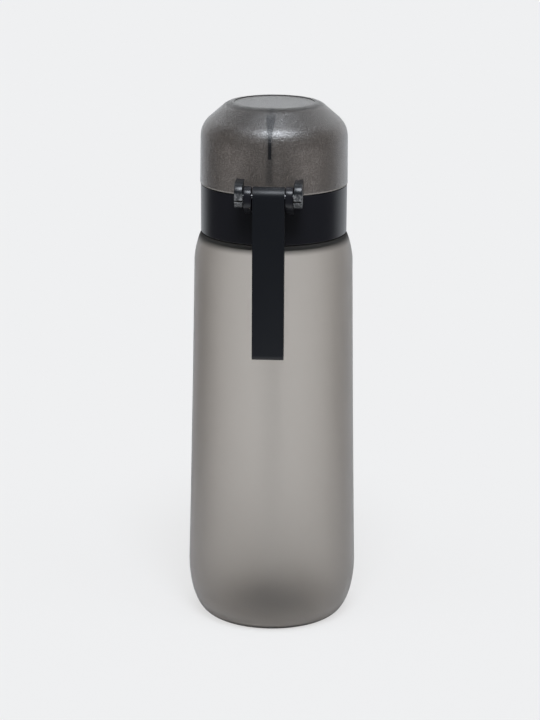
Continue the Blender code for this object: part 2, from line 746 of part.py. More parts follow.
def make_dome():
    """The shell with the shallow round recess in its top, its two ears and its catch."""
    dome = turned("dome_cover", filleted(dome_outline(), closed=False), smoked, BODY_SEGMENTS, closed=False)
    shelled(dome, DOME_WALL)
    recess_floor = dome_top - DISC_RECESS
    recess = turned("top_recess", [
        (0, dome_top + OVERRUN), (DISC_RADIUS, dome_top + OVERRUN), (DISC_RADIUS, recess_floor), (0, recess_floor),
    ], None, BODY_SEGMENTS, closed=False, collection=cutters)
    combine(dome, recess, "DIFFERENCE")
    ear_middle = (ear_inner_x + ear_outer_x) / 2
    for side, name in ((-1, "left"), (1, "right")):
        combine(dome, hinge_ear(f"ear_{name}", side * ear_middle), "UNION")
    catch_root = wall_root(rim_radius - DOME_WALL, rim_radius - DOME_TAPER, 0, CATCH_WIDTH / 2)
    catch_depth = rim_radius + CATCH_STAND - catch_root
    catch = block(
        "lid_catch", (CATCH_WIDTH, catch_depth, CATCH_HEIGHT),
        (0, catch_root + catch_depth / 2, (catch_bottom + catch_top) / 2),
    )
    combine(dome, catch, "UNION")
    bore = crosswise_rod(
        "ear_bore", PIN_RADIUS + PIN_CLEARANCE, 2 * ear_outer_x + OVERRUN,
        -hinge_offset, pin_height, PIN_SEGMENTS, cutters,
    )
    combine(dome, bore, "DIFFERENCE")
    slot_length = EAR_RADIUS + OVERRUN
    for side, name in ((-1, "left"), (1, "right")):
        slot = block(
            f"ear_slot_{name}", (EAR_WIDTH + OVERRUN, slot_length, EAR_SLOT_WIDTH),
            (
                side * (ear_middle + OVERRUN / 2),
                -hinge_offset - slot_length / 2 * math.cos(EAR_SLOT_ANGLE),
                pin_height - slot_length / 2 * math.sin(EAR_SLOT_ANGLE),
            ),
            tilt=EAR_SLOT_ANGLE,
        )
        combine(dome, slot, "DIFFERENCE")
    return dome


def holder_leg():
    """The leg from the holder to the back wall: a side outline cut to the width of a front outline."""
    root = -(holder_radius - HOLDER_WALL / 2)
    wall_radius = rim_radius - DOME_TAPER - DOME_WALL
    wall = -(wall_radius - CLEARANCE)
    inner_wall = wall + LEG_DEPTH
    cone_slope = math.tan(DOME_CONE_ANGLE)
    cone_foot = dome_top - (rim_radius - DOME_TAPER - DOME_FLAT_RADIUS) * cone_slope
    wall_drop = DOME_WALL + CLEARANCE
    bend = cone_foot - wall_drop * math.tan((math.pi / 2 - DOME_CONE_ANGLE) / 2)
    bottom = spigot_top + LEG_FOOT_HEIGHT
    web_bottom = holder_top - LEG_WEB_HEIGHT
    out_at_top = wall + (holder_top - bend) / cone_slope
    out_at_web = inner_wall + (web_bottom - bend + LEG_DEPTH) / cone_slope
    side = plate("leg_side", [filleted([
        (root, holder_top, 0),
        (out_at_top, holder_top, dome_band_radius - wall_drop),
        (wall, bend, DOME_CORNER_RADIUS - wall_drop),
        (wall, bottom, 0),
        (inner_wall, bottom, 0),
        (inner_wall, bend - LEG_DEPTH, DOME_CORNER_RADIUS - wall_drop),
        (out_at_web, web_bottom, 0),
        (root, web_bottom, 0),
    ])], LEG_TOP_WIDTH + OVERRUN, collection=cutters)
    foot_top = bottom + LEG_FOOT_LENGTH
    half_top = LEG_TOP_WIDTH / 2
    half_leg = LEG_WIDTH / 2
    half_foot = LEG_FOOT_WIDTH / 2
    right_half = [
        (half_foot, bottom - OVERRUN),
        (half_foot, foot_top - half_foot),
        (half_leg, foot_top),
        (half_leg, bend),
        (half_top, holder_top - CLEARANCE),
        (half_top, holder_top + OVERRUN),
    ]
    left_half = [(-x, z) for x, z in reversed(right_half)]
    depth = -wall + OVERRUN
    front = plate(
        "leg_front", [right_half + left_half], depth, collection=cutters, facing="Y", middle=-depth / 2 - OVERRUN,
    )
    return combine(side, front, "INTERSECT")


def make_stopper_holder():
    """A cup under the dome's top that holds the stopper, with a leg down the back wall."""
    floor_top = holder_floor + HOLDER_WALL
    inner = holder_radius - HOLDER_WALL
    section = [
        (0, floor_top),
        (inner, floor_top),
        (inner, holder_top),
        (holder_radius, holder_top),
        (holder_radius, holder_bottom),
        (holder_bore_radius, holder_bottom),
        (holder_bore_radius, holder_floor),
        (0, holder_floor),
    ]
    holder = turned("stopper_holder", section, black_plastic, RING_SEGMENTS, closed=False)
    return combine(holder, holder_leg(), "UNION")


def make_stopper():
    section = [
        (0, stopper_top), (STOPPER_RADIUS, stopper_top), (STOPPER_RADIUS, stopper_bottom), (0, stopper_bottom),
    ]
    return turned("lid_stopper", section, silicone, SMALL_SEGMENTS, closed=False)


# The hinge pin and the carry strap
def make_hinge_pin():
    length = 2 * ear_outer_x - 2 * PIN_END_RECESS
    return crosswise_rod("hinge_pin", PIN_RADIUS, length, -hinge_offset, pin_height, PIN_SEGMENTS, material=steel)


def make_strap():
    """A flat loop: an eye round the hinge pin, and two layers that meet in a fold at the bottom."""
    front = -hinge_offset - BARREL_RADIUS
    back = front + strap_thickness
    eye_back = -hinge_offset + BARREL_RADIUS
    eye_top = pin_height + BARREL_RADIUS
    eye_round = BARREL_RADIUS * ROUND_SHARE
    eye_bottom = pin_height - BARREL_RADIUS
    fold_round = strap_thickness / 2 * ROUND_SHARE
    outer = filleted([
        (front, eye_top, eye_round),
        (front, strap_bottom, fold_round),
        (back, strap_bottom, fold_round),
        (back, eye_bottom - STRAP_LAYER, STRAP_LAYER),
        (eye_back, eye_bottom + STRAP_LAYER, STRAP_LAYER),
        (eye_back, eye_top, eye_round),
    ])
    slot_round = STRAP_LAYER_GAP / 2 * ROUND_SHARE
    slot_front = front + STRAP_LAYER
    slot_back = back - STRAP_LAYER
    slot = filleted([
        (slot_front, pin_height - BARREL_RADIUS - STRAP_NECK_DROP, slot_round),
        (slot_front, strap_bottom + STRAP_LAYER, slot_round),
        (slot_back, strap_bottom + STRAP_LAYER, slot_round),
        (slot_back, pin_height - BARREL_RADIUS - STRAP_NECK_DROP, slot_round),
    ])
    eye = circle((-hinge_offset, pin_height), PIN_RADIUS + PIN_CLEARANCE, PIN_SEGMENTS)
    return plate("carry_strap", [outer, slot, eye], STRAP_WIDTH, black_strap)


# The front latch
def make_latch_pin():
    length = BUTTON_WIDTH + 2 * SIDE_CLEARANCE + 2 * CHEEK_WIDTH
    return crosswise_rod(
        "latch_pin", LATCH_PIN_RADIUS, length, latch_pin_offset, latch_pin_height, PIN_SEGMENTS, material=steel,
    )


def make_latch_button():
    """A rocker: pressed at the bottom, its hook swings out over the lid's catch."""
    bottom = latch_pin_height - BUTTON_DROP
    boss_back = latch_pin_offset - LATCH_BOSS_RADIUS
    low_back = collar_radius + BUTTON_BACK_GAP
    front = low_back + BUTTON_THICKNESS
    crown = front + BUTTON_CROWN
    outline = filleted([
        (button_back - BUTTON_NOSE_DEPTH, nose_top, BUTTON_EDGE_RADIUS / 2),
        (button_back - BUTTON_NOSE_DEPTH, nose_bottom, 0),
        (button_back, nose_bottom, 0),
        (button_back, latch_pin_height + 2 * LATCH_BOSS_RADIUS, BUTTON_EDGE_RADIUS),
        (boss_back, latch_pin_height + LATCH_BOSS_RADIUS, BUTTON_EDGE_RADIUS),
        (boss_back, latch_pin_height - LATCH_BOSS_RADIUS, BUTTON_EDGE_RADIUS),
        (low_back, latch_pin_height - 2 * LATCH_BOSS_RADIUS, BUTTON_EDGE_RADIUS),
        (low_back, bottom, BUTTON_EDGE_RADIUS),
        (front, bottom, BUTTON_EDGE_RADIUS),
        (crown, latch_pin_height - LATCH_BOSS_RADIUS, BUTTON_DROP / 2),
        (crown, latch_pin_height + LATCH_BOSS_RADIUS, BUTTON_DROP / 2),
        (front, nose_top, BUTTON_EDGE_RADIUS),
    ])
    button = plate("latch_button", [outline], BUTTON_WIDTH, black_plastic)
    bore = crosswise_rod(
        "button_bore", LATCH_PIN_RADIUS + PIN_CLEARANCE, BUTTON_WIDTH + OVERRUN,
        latch_pin_offset, latch_pin_height, PIN_SEGMENTS, cutters,
    )
    spring_length = SPRING_PITCH * SPRING_TURNS + 2 * SPRING_WIRE_RADIUS
    spring_room = crosswise_rod(
        "spring_room", SPRING_COIL_RADIUS + SPRING_WIRE_RADIUS + CLEARANCE, spring_length + 2 * CLEARANCE,
        latch_pin_offset, latch_pin_height, PIN_SEGMENTS, cutters,
    )
    combine(button, bore, "DIFFERENCE")
    return combine(button, spring_room, "DIFFERENCE")


def make_latch_spring():
    """The coil round the latch pin that brings the button back."""
    curve = bpy.data.curves.new("latch_spring", "CURVE")
    curve.dimensions = "3D"
    curve.bevel_depth = SPRING_WIRE_RADIUS
    curve.bevel_resolution = 1
    curve.use_fill_caps = True
    count = SPRING_TURNS * COIL_POINTS_PER_TURN + 1
    spline = curve.splines.new("POLY")
    spline.points.add(count - 1)
    for i, point in enumerate(spline.points):
        turns = i / COIL_POINTS_PER_TURN
        angle = math.tau * turns
        point.co = (
            (turns - SPRING_TURNS / 2) * SPRING_PITCH,
            SPRING_COIL_RADIUS * math.cos(angle),
            SPRING_COIL_RADIUS * math.sin(angle),
            1,
        )
    spring = add_object("latch_spring", curve, parts, steel)
    spring.location = (0, latch_pin_offset, latch_pin_height)
    return spring


clear_scene()
parts = new_collection("flavour_pod_bottle")
cutters = new_collection("cutters", hidden=True)

frosted = new_material("frosted_smoke", (0.40, 0.38, 0.36), 0.55, alpha=0.75)
smoked = new_material("clear_smoke", (0.12, 0.115, 0.11), 0.08, alpha=0.6)
black_plastic = new_material("black_plastic", (0.012, 0.012, 0.015), 0.42)
black_strap = new_material("black_strap", (0.014, 0.014, 0.017), 0.5)
silicone = new_material("grey_silicone", (0.10, 0.10, 0.10), 0.6)
pale_silicone = new_material("pale_silicone", (0.55, 0.55, 0.54), 0.55)
pale_plastic = new_material("pale_plastic", (0.60, 0.60, 0.58), 0.45)
clear_plastic = new_material("clear_plastic", (0.75, 0.75, 0.75), 0.2, alpha=0.5)
pod_plastic = new_material("pod_plastic", (0.62, 0.61, 0.58), 0.5)
felt = new_material("felt", (0.70, 0.66, 0.58), 0.95)
steel = new_material("steel", (0.62, 0.62, 0.63), 0.25, metallic=1.0)

bottle_body = make_bottle()
neck_seal = make_neck_seal()
screw_collar = make_collar()
head_seal = make_head_seal()
drink_head = make_drink_head()
air_valve = make_air_valve()
mouthpiece = make_mouthpiece()
straw_sleeve = make_straw_sleeve()
straw = make_straw()
hinge_pin = make_hinge_pin()
latch_pin = make_latch_pin()
dome_cover = make_dome()
stopper_holder = make_stopper_holder()
lid_stopper = make_stopper()
carry_strap = make_strap()
pod_case = make_pod_case()
aroma_ring = make_aroma_ring()
pod_cap = make_pod_cap()
latch_button = make_latch_button()
latch_spring = make_latch_spring()

collar_axis = joint_axis("collar_axis", (0, 0, collar_bottom))
lid_axis = joint_axis("lid_axis", (0, -hinge_offset, pin_height))
strap_axis = joint_axis("strap_axis", (0, -hinge_offset, pin_height))
pod_axis = joint_axis("pod_axis", (0, 0, pod_bottom))
latch_axis = joint_axis("latch_axis", (0, latch_pin_offset, latch_pin_height))
carry(
    collar_axis, neck_seal, screw_collar, head_seal, drink_head, air_valve, mouthpiece, straw_sleeve,
    straw, hinge_pin, latch_pin,
)
carry(lid_axis, dome_cover, stopper_holder, lid_stopper)
carry(strap_axis, carry_strap)
carry(pod_axis, pod_case, aroma_ring, pod_cap)
carry(latch_axis, latch_button, latch_spring)
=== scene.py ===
# %% [markdown]
# # A drinking bottle with a flavour pod
# This lesson dresses a finished solid model. The solids give every size and say how each piece moves.
# Here each piece gets finer edges and curves, and the finish of the real one: frosted plastic, clear
# smoked plastic, satin black mouldings, soft rubber and steel. It opens by loading the model as a frame.
# Sizes are written in millimetres, and MM turns them into Blender's metres. X goes across the bottle,
# Y from the hinge to the latch, and Z up.
# %% Load the frame
import math

import bmesh
import bpy
from mathutils import Matrix, Vector


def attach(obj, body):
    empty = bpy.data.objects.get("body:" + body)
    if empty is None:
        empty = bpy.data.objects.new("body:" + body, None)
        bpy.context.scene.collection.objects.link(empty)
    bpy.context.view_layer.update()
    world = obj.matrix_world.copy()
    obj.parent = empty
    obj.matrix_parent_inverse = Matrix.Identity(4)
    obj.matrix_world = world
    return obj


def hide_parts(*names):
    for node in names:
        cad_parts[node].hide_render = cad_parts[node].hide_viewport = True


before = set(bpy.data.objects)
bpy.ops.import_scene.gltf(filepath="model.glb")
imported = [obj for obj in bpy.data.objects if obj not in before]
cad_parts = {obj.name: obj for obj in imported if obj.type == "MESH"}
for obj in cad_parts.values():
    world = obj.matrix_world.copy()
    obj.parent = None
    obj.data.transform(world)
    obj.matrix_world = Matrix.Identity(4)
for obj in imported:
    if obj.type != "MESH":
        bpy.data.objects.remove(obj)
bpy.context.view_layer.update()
MM = 0.001

# %% [markdown]
# ## Sums written as sums
# A shader's maths is a chain of Math nodes, which is hard to read as a list of links. A small class
# wraps a socket so that a sum of sockets looks like a sum of numbers, and adds its Math nodes as it goes.
# %% A socket that works in sums
class Wire:
    def __init__(self, builder, socket):
        self.builder = builder
        self.socket = socket

    def output(self, name):
        """Another output of the same node."""
        return Wire(self.builder, self.socket.node.outputs[name])

    def __add__(self, other):
        return self.builder.maths("ADD", self, other)

    __radd__ = __add__

    def __sub__(self, other):
        return self.builder.maths("SUBTRACT", self, other)

    def __rsub__(self, other):
        return self.builder.maths("SUBTRACT", other, self)

    def __mul__(self, other):
        return self.builder.maths("MULTIPLY", self, other)

    __rmul__ = __mul__


# %% [markdown]
# ## One way to make any node
# Every other node comes from one method, in a finish and in Geometry Nodes alike. It takes the node's
# type, then its settings, and last the values or wires for its sockets, because a setting can change
# which sockets a node has.
# %% A tree that fills up node by node
class Builder:
    def __init__(self, tree):
        self.tree = tree

    def node(self, kind, settings=None, values=None, output=0):
        """Adds a node and gives back one of its outputs. A list of wires goes into one socket."""
        made = self.tree.nodes.new(kind)
        for name, value in (settings or {}).items():
            setattr(made, name, value)
        for name, value in (values or {}).items():
            for part in value if isinstance(value, list) else [value]:
                if isinstance(part, Wire):
                    self.tree.links.new(part.socket, made.inputs[name])
                else:
                    made.inputs[name].default_value = part
        return Wire(self, made.outputs[output]) if len(made.outputs) else made

    def maths(self, operation, *values):
        return self.node("ShaderNodeMath", {"operation": operation}, dict(enumerate(values)))


# %% [markdown]
# ## What a finish is made of
# Whatever changes over these surfaces is noise, a blend of two colours or a smooth step at some place on
# the piece. Places come from Object coordinates, which stay with the piece when it moves. Shaders are
# laid over each other by a share, and a wall of clear plastic also holds a tint.
# %% The makings of a finish
COLOUR_A, COLOUR_B, COLOUR_OUT = 6, 7, 2  # a Mix node's colour sockets


class Finish(Builder):
    """The tree of a material, or of the world."""

    def __init__(self, owner):
        owner.use_nodes = True
        super().__init__(owner.node_tree)
        self.owner = owner
        self.tree.nodes.clear()

    def places(self):
        """A point's place across, along and up, and its distance from the upright axis, in metres."""
        place = self.node("ShaderNodeTexCoord", output="Object")
        split = self.node("ShaderNodeSeparateXYZ", values={0: place})
        across, along, up = (split.output(axis) for axis in "XYZ")
        return across, along, up, self.maths("SQRT", across * across + along * along)

    def noise(self, scale, detail=1.0):
        """Noise from 0 to 1. The scale is patches in a metre."""
        place = self.node("ShaderNodeTexCoord", output="Object")
        return self.node("ShaderNodeTexNoise", values={"Vector": place, "Scale": scale, "Detail": detail})

    def clouds(self):
        """The slow change of tone that every moulding has."""
        return self.noise(45, detail=2.0)

    def eased(self, value, low, high, start=0.0, end=1.0):
        """Start up to low, end from high on, and a smooth change between."""
        return self.node("ShaderNodeMapRange", {"interpolation_type": "SMOOTHSTEP"}, {
            "Value": value, "From Min": low, "From Max": high, "To Min": start, "To Max": end,
        })

    def rising(self, place, low, high, top=1.0):
        """Nothing up to low and top from high on, which are places in millimetres."""
        return self.eased(place, low * MM, high * MM, 0.0, top)

    def falling(self, place, low, high, top=1.0, end=0.0):
        """Top up to low and end from high on, which are places in millimetres."""
        return self.eased(place, low * MM, high * MM, top, end)

    def blended(self, share, first, second):
        """A colour between two others, which are plain or wired."""
        first, second = (part if isinstance(part, Wire) else (*part, 1) for part in (first, second))
        return self.node(
            "ShaderNodeMix", {"data_type": "RGBA"}, {"Factor": share, COLOUR_A: first, COLOUR_B: second},
            output=COLOUR_OUT,
        )

    def bumps(self, height, depth):
        """Relief of this depth in millimetres, which only bends the light."""
        return self.node("ShaderNodeBump", values={"Height": height, "Distance": depth * MM})

    def surface(self, colour, rough, **sockets):
        """The main shader. In a socket's name, an underscore stands for a space."""
        values = {"Base Color": colour, "Roughness": rough}
        values.update({name.replace("_", " "): value for name, value in sockets.items()})
        return self.node("ShaderNodeBsdfPrincipled", values=values)

    def matt(self, colour):
        return self.node("ShaderNodeBsdfDiffuse", values={"Color": colour})

    def laid(self, share, under, over):
        """One shader over another, where the share says how much of it shows."""
        return self.node("ShaderNodeMixShader", values={0: share, 1: under, 2: over})

    def tint(self, colour, density):
        """Plastic that swallows light on its way through."""
        return self.node("ShaderNodeVolumeAbsorption", values={"Color": (*colour, 1), "Density": density})

    def finished(self, kind="Material", **ends):
        """Wires up the tree's end and gives back what the tree belongs to."""
        self.node(f"ShaderNodeOutput{kind}", values=ends)
        print(f"{self.owner.name}: {len(self.tree.nodes)} nodes")
        return self.owner


# %% [markdown]
# ## Moulded plastic in general
# A moulding isn't perfectly even. The tool's surface leaves a very fine grain, the gloss wanders a
# little, and so does the colour. One function holds this, and each finish gives its own amounts.
# %% The moulded finish
DARKER, LIGHTER, WANDER = 0.93, 1.05, 0.05  # how far the tone and the gloss wander


def moulded(name, colour, rough, grain=0.004, grain_scale=6000, **sockets):
    """The grain is the relief's depth in millimetres, and its scale the grains in a metre."""
    finish = Finish(bpy.data.materials.new(name))
    cloud = finish.clouds()
    darker = tuple(DARKER * part for part in colour)
    lighter = tuple(min(1.0, LIGHTER * part) for part in colour)
    skin = finish.surface(
        finish.blended(cloud, darker, lighter), rough + WANDER * (cloud - 0.5),
        Normal=finish.bumps(finish.noise(grain_scale), grain), **sockets,
    )
    return finish.finished(Surface=skin)


# %% [markdown]
# ## The frosted bottle
# The bottle is one blown piece of smoke-tinted plastic, sandblasted outside. Light that crosses it is
# scattered at the surface and tinted in the wall, so its edges, where the eye looks through more
# plastic, are darker. That is why the tint is a volume in the wall and not a colour on it. Three places
# carry painted shade: the shoulder's edge under the collar, where little light gets in, the middle of the
# base, and a fine line where the corner curls under, just above the foot, at the floor.
# %% Make the frosted finish
SHOULDER = 176.8
FROST_TINT, FROST_DENSITY = (0.622, 0.572, 0.53), 292.0

frost = Finish(bpy.data.materials.new("frosted_smoke"))
cloud = frost.clouds()
_, _, up, radius = frost.places()
# Painted shade on the shoulder's edge under the collar, which stops at the neck.
painted_collar_shade = frost.rising(up, SHOULDER - 4.5, SHOULDER - 0.2, 0.88)
collar_shade_stops = frost.falling(up, SHOULDER + 0.1, SHOULDER + 0.7)
# Painted shade in the middle of the base.
painted_base_shade = frost.falling(up, 6.0, 14.0) * frost.falling(radius, 8.0, 27.0, 0.9)
# Painted shade: a fine dark line above the foot, where the corner meets the floor.
painted_foot_shade = frost.rising(up, 0.6, 1.4) * frost.falling(up, 1.6, 3.2, 0.9) * frost.rising(radius, 29.0, 30.0)
clean = frost.blended(cloud, (0.97, 0.965, 0.95), (1.0, 1.0, 0.985))
# The plastic's colour goes dark by the painted shade of the base and the foot.
blasted = frost.surface(
    frost.blended(painted_base_shade + painted_foot_shade, clean, (0.22, 0.215, 0.215)), 0.38 + 0.06 * (cloud - 0.5),
    Normal=frost.bumps(frost.noise(2600), 0.012), Transmission_Weight=1.0, IOR=1.46,
)
# The painted shade under the collar is a dark matt shader laid over the plastic.
frosted = frost.finished(
    Surface=frost.laid(painted_collar_shade * collar_shade_stops, blasted, frost.matt((0.040, 0.038, 0.036, 1))),
    Volume=frost.tint(FROST_TINT, FROST_DENSITY),
)

# %% [markdown]
# ## The dome's clear plastic
# The lid is of the same tint, darker, and clear outside. Fine specks in it catch the light, which a bump
# and a broken coat of gloss give. Its inside is matt and blurs what lies behind it. An attribute marks
# the inside, and is added when the dome is made, because the place of a point can't tell the two sides
# of a thin wall apart. The flat top lies in a low raised ring, which is less glossy.
# %% Begin the smoked finish
DISC_RADIUS, DISC_HEIGHT = 17.45, 234.0
DOME_RADIUS, DOME_BOTTOM, DOME_TOP = 32.36, 198.8, 234.3
SMOKE_TINT, SMOKE_DENSITY = (0.46, 0.39, 0.33), 1150.0

smoke = Finish(bpy.data.materials.new("clear_smoke"))
cloud = smoke.clouds()
inside = smoke.node("ShaderNodeAttribute", {"attribute_name": "inside"}, output="Fac")
across, along, up, radius = smoke.places()
disc_edge = DISC_RADIUS - 0.05, DISC_RADIUS + 0.05
disc = smoke.falling(radius, *disc_edge) * smoke.rising(up, DISC_HEIGHT - 1.0, DISC_HEIGHT - 0.5)
ring = smoke.rising(radius, *disc_edge) * smoke.rising(up, DOME_TOP - 1.4, DOME_TOP - 0.7)
grains = smoke.noise(1800)
speck = smoke.eased(grains, 0.42, 0.64)
sparkle = smoke.bumps(grains, 0.22)
gloss = (1.0 - inside) * (1.0 - 0.75 * ring) * (0.3 + 0.7 * speck)
coat = {"Coat_Roughness": 0.38, "Coat_IOR": 1.9, "Normal": sparkle}
shell = smoke.surface(
    smoke.blended(cloud, (0.93, 0.92, 0.90), (1.0, 0.99, 0.97)), 0.30 + 0.40 * inside + 0.04 * (cloud - 0.5),
    Transmission_Weight=1.0, IOR=1.60, Coat_Weight=gloss, **coat,
)

# %% [markdown]
# ## The veil in the dome
# The specks also scatter light, so the plastic has a pale veil. It is stronger low down, which keeps the
# cone darker as painted shade against the overhead light, and stronger still on both sides, where the
# pale pod stands close behind, as a painted glow of the pod. The flat top and its ring have none.
# %% Lay the veil over the plastic
sideways = smoke.maths("ABSOLUTE", across)
# Painted light: the pale pod's glow through the wall, on both sides low down.
painted_pod_glow = smoke.rising(sideways, 6.0, 15.0) * smoke.falling(sideways, 18.0, 26.0)
# The veil is the specks' haze, with painted shade on the cone and the pod's painted glow.
veil_and_painted_light = smoke.falling(up, 218.0, 230.0, 0.25, 0.07) + 0.12 * (painted_pod_glow * smoke.falling(up, 216.0, 222.0))
bloom = smoke.surface(
    smoke.blended(speck, (0.38, 0.33, 0.29), (0.72, 0.63, 0.57)), 0.5, Coat_Weight=gloss, **coat,
)
wall = smoke.laid(veil_and_painted_light * (1.0 - disc) * (1.0 - ring), shell, bloom)

# %% [markdown]
# ## The leg behind the dome
# The black leg of the stopper's holder touches the dome's inside. Where it touches, no air lies between,
# so nothing is blurred and the black shows sharply, like a wet patch on frosted glass. The patch is as
# wide as the leg, which widens towards the top, and it has a soft edge where the gap opens. A renderer
# blurs all that lies behind a matt inside, touching or not, so the patch is part of the finish.
# %% Add the leg's wet patch
LEG_NARROW, LEG_WIDENS = 0.75, 1.35

leg_half = LEG_NARROW * MM + LEG_WIDENS * MM * smoke.rising(up, 222.5, 233.0)
hinge_side = smoke.falling(along, -16.5, -15.5)
patch = smoke.falling(sideways - leg_half, -0.2, 0.2) * hinge_side
patch = patch * smoke.rising(up, 214.0, 215.0) * smoke.falling(up, 230.6, 233.4, 1.0, 0.1)
soft_edge = smoke.falling(sideways, 0.2, 2.6, 0.45) * hinge_side * smoke.rising(up, 202.5, 205.0)
wetted = smoke.surface(
    smoke.blended(cloud, (0.006, 0.006, 0.008), (0.009, 0.009, 0.011)), 0.45, Coat_Weight=0.5 * gloss, **coat,
)
wall = smoke.laid(smoke.maths("MAXIMUM", patch, soft_edge), wall, wetted)

# %% [markdown]
# ## The dome's ears and lower edge
# The ears are solid, so they look black, and their ends are scuffed pale where they clip over the pin.
# The lower edge is a cut face that gathers light, which is painted as a fine pale line above the collar.
# %% Finish the ears and the edge
scuffs = smoke.eased(smoke.noise(900, detail=3.0), 0.42, 0.62)
clipped = smoke.rising(up, 195.5, 196.5) * smoke.falling(up, 200.5, 202.5)
ear_skin = smoke.surface(
    smoke.blended(clipped * (0.25 + 0.75 * scuffs), (0.012, 0.014, 0.017), (0.27, 0.27, 0.27)),
    0.30 + 0.25 * clipped, Normal=smoke.bumps(scuffs * clipped, 0.10),
)
# Painted light: the pale line along the dome's lower edge.
painted_edge_glow = smoke.surface(smoke.blended(cloud, (0.40, 0.37, 0.33), (0.50, 0.46, 0.42)), 0.4)
wall = smoke.laid(smoke.falling(up, DOME_BOTTOM + 0.45, DOME_BOTTOM + 0.65, 0.9), wall, painted_edge_glow)
smoked = smoke.finished(
    Surface=smoke.laid(smoke.rising(radius, DOME_RADIUS + 0.06, DOME_RADIUS + 0.26), wall, ear_skin),
    Volume=smoke.tint(SMOKE_TINT, SMOKE_DENSITY),
)

# %% [markdown]
# ## The plain finishes
# The rest are common mouldings that differ in colour, gloss and grain: a satin black collar, a duller and
# coarser black strap, grey and pale silicone, pale and clear plastic, felt for the scent, and steel. The
# blacks have a little less sheen than usual, because they are lightly textured.
# %% Make the plain finishes
black = moulded("black_plastic", (0.0138, 0.0139, 0.0178), 0.30, grain=0.012, Specular_IOR_Level=0.42)
webbing = moulded(
    "black_strap", (0.0075, 0.0088, 0.0120), 0.42, grain=0.016, grain_scale=3800, Specular_IOR_Level=0.42,
)
rubber = moulded("grey_silicone", (0.10, 0.10, 0.10), 0.62, grain=0.006)
soft_spout = moulded("pale_silicone", (0.62, 0.62, 0.60), 0.50, grain=0.006, Subsurface_Weight=0.1)
pale = moulded("pale_plastic", (0.62, 0.62, 0.60), 0.42, grain=0.006)
clear = moulded("clear_plastic", (0.97, 0.97, 0.97), 0.12, grain=0.002, Transmission_Weight=1.0, IOR=1.46)
pod_finish = moulded("pod_plastic", (0.66, 0.65, 0.62), 0.44, grain=0.006)
felt = moulded("felt", (0.70, 0.66, 0.58), 0.95, grain=0.20, grain_scale=1500)
steel = moulded("steel", (0.72, 0.72, 0.73), 0.32, Metallic=1.0)
print("finishes:", len(bpy.data.materials))

# %% [markdown]
# ## Outlines with rounded corners
# Nearly every piece here starts as an outline on paper, spun or given a width. Real mouldings have no
# knife edges, so each corner carries its own radius and this helper turns it into an arc.
# %% Round the corners of an outline
def rounded(corners, closed=True, step=9):
    """Points of an outline given as (across, up, corner radius), with one point every few degrees."""
    points = []
    for index, (x, y, radius) in enumerate(corners):
        if radius <= 0 or (not closed and index in (0, len(corners) - 1)):
            points.append((x, y))
            continue
        before, after = corners[index - 1], corners[(index + 1) % len(corners)]
        way_back = math.atan2(before[1] - y, before[0] - x)
        opening = (math.atan2(after[1] - y, after[0] - x) - way_back) % math.tau
        reach = math.copysign(radius, math.pi - opening) / math.sin(opening / 2)
        centre_x = x + math.cos(way_back + opening / 2) * reach
        centre_y = y + math.sin(way_back + opening / 2) * reach
        middle = math.atan2(y - centre_y, x - centre_x)
        sweep = math.pi - opening
        steps = max(2, math.ceil(abs(math.degrees(sweep)) / step))
        for i in range(steps + 1):
            angle = middle + sweep / 2 - sweep * i / steps
            points.append((centre_x + radius * math.cos(angle), centre_y + radius * math.sin(angle)))
    return points


# %% [markdown]
# ## Turned pieces
# A bottle, a collar or a ring is an outline spun round an axis. Blender's Spin and Screw can do this,
# but laying the rings by hand gives full control of the poles, the seam and the way the faces point.
# %% Spin an outline, and finish a mesh
SHARP = 32  # degrees, past which an edge stays sharp
ON_AXIS = 1e-6


def sealed(name, shape, material):
    """Makes an object of a bmesh, with its faces outwards and its sharp edges kept."""
    if shape.calc_volume(signed=True) < 0:
        bmesh.ops.reverse_faces(shape, faces=shape.faces)
    mesh = bpy.data.meshes.new(name)
    shape.to_mesh(mesh)
    shape.free()
    mesh.materials.append(material)
    mesh.shade_smooth()
    mesh.set_sharp_from_angle(angle=math.radians(SHARP))
    piece = bpy.data.objects.new(name, mesh)
    bpy.context.scene.collection.objects.link(piece)
    return piece


def turned(name, outline, material, segments=128, closed=True, centre_y=0.0):
    """Spins (radius, height) points round an upright axis. An open outline starts and ends on the axis."""
    shape = bmesh.new()
    rings = []
    for radius, height in outline:
        count = segments if radius > ON_AXIS else 1
        turns = [math.tau * i / segments for i in range(count)]
        rings.append([
            shape.verts.new((radius * math.sin(t) * MM, (centre_y - radius * math.cos(t)) * MM, height * MM))
            for t in turns
        ])
    pairs = list(zip(rings, rings[1:]))
    if closed:
        pairs.append((rings[-1], rings[0]))
    for upper, lower in pairs:
        for i in range(segments):
            j = i + 1
            corners = [
                upper[i % len(upper)], lower[i % len(lower)], lower[j % len(lower)], upper[j % len(upper)],
            ]
            corners = list(dict.fromkeys(corners))
            if len(corners) > 2:
                shape.faces.new(corners)
    return sealed(name, shape, material)


# %% [markdown]
# ## Finished meshes from modifiers
# Walls, bevels and cuts are easiest as modifiers. The finished piece has to be a plain mesh, so one
# helper bakes the modifiers into a new mesh and takes them off again, and the others use it.
# %% Bake modifiers into the mesh
def baked(piece, sharp=SHARP):
    graph = bpy.context.evaluated_depsgraph_get()
    mesh = bpy.data.meshes.new_from_object(piece.evaluated_get(graph))
    piece.modifiers.clear()
    piece.data = mesh
    mesh.name = piece.name
    mesh.shade_smooth()
    mesh.set_sharp_from_angle(angle=math.radians(sharp))
    return piece


def walled(piece, thickness):
    """Gives an open turned skin a wall inside it."""
    wall = piece.modifiers.new("Wall", "SOLIDIFY")
    wall.thickness = thickness * MM
    wall.offset = -1
    wall.use_even_offset = True
    return baked(piece)


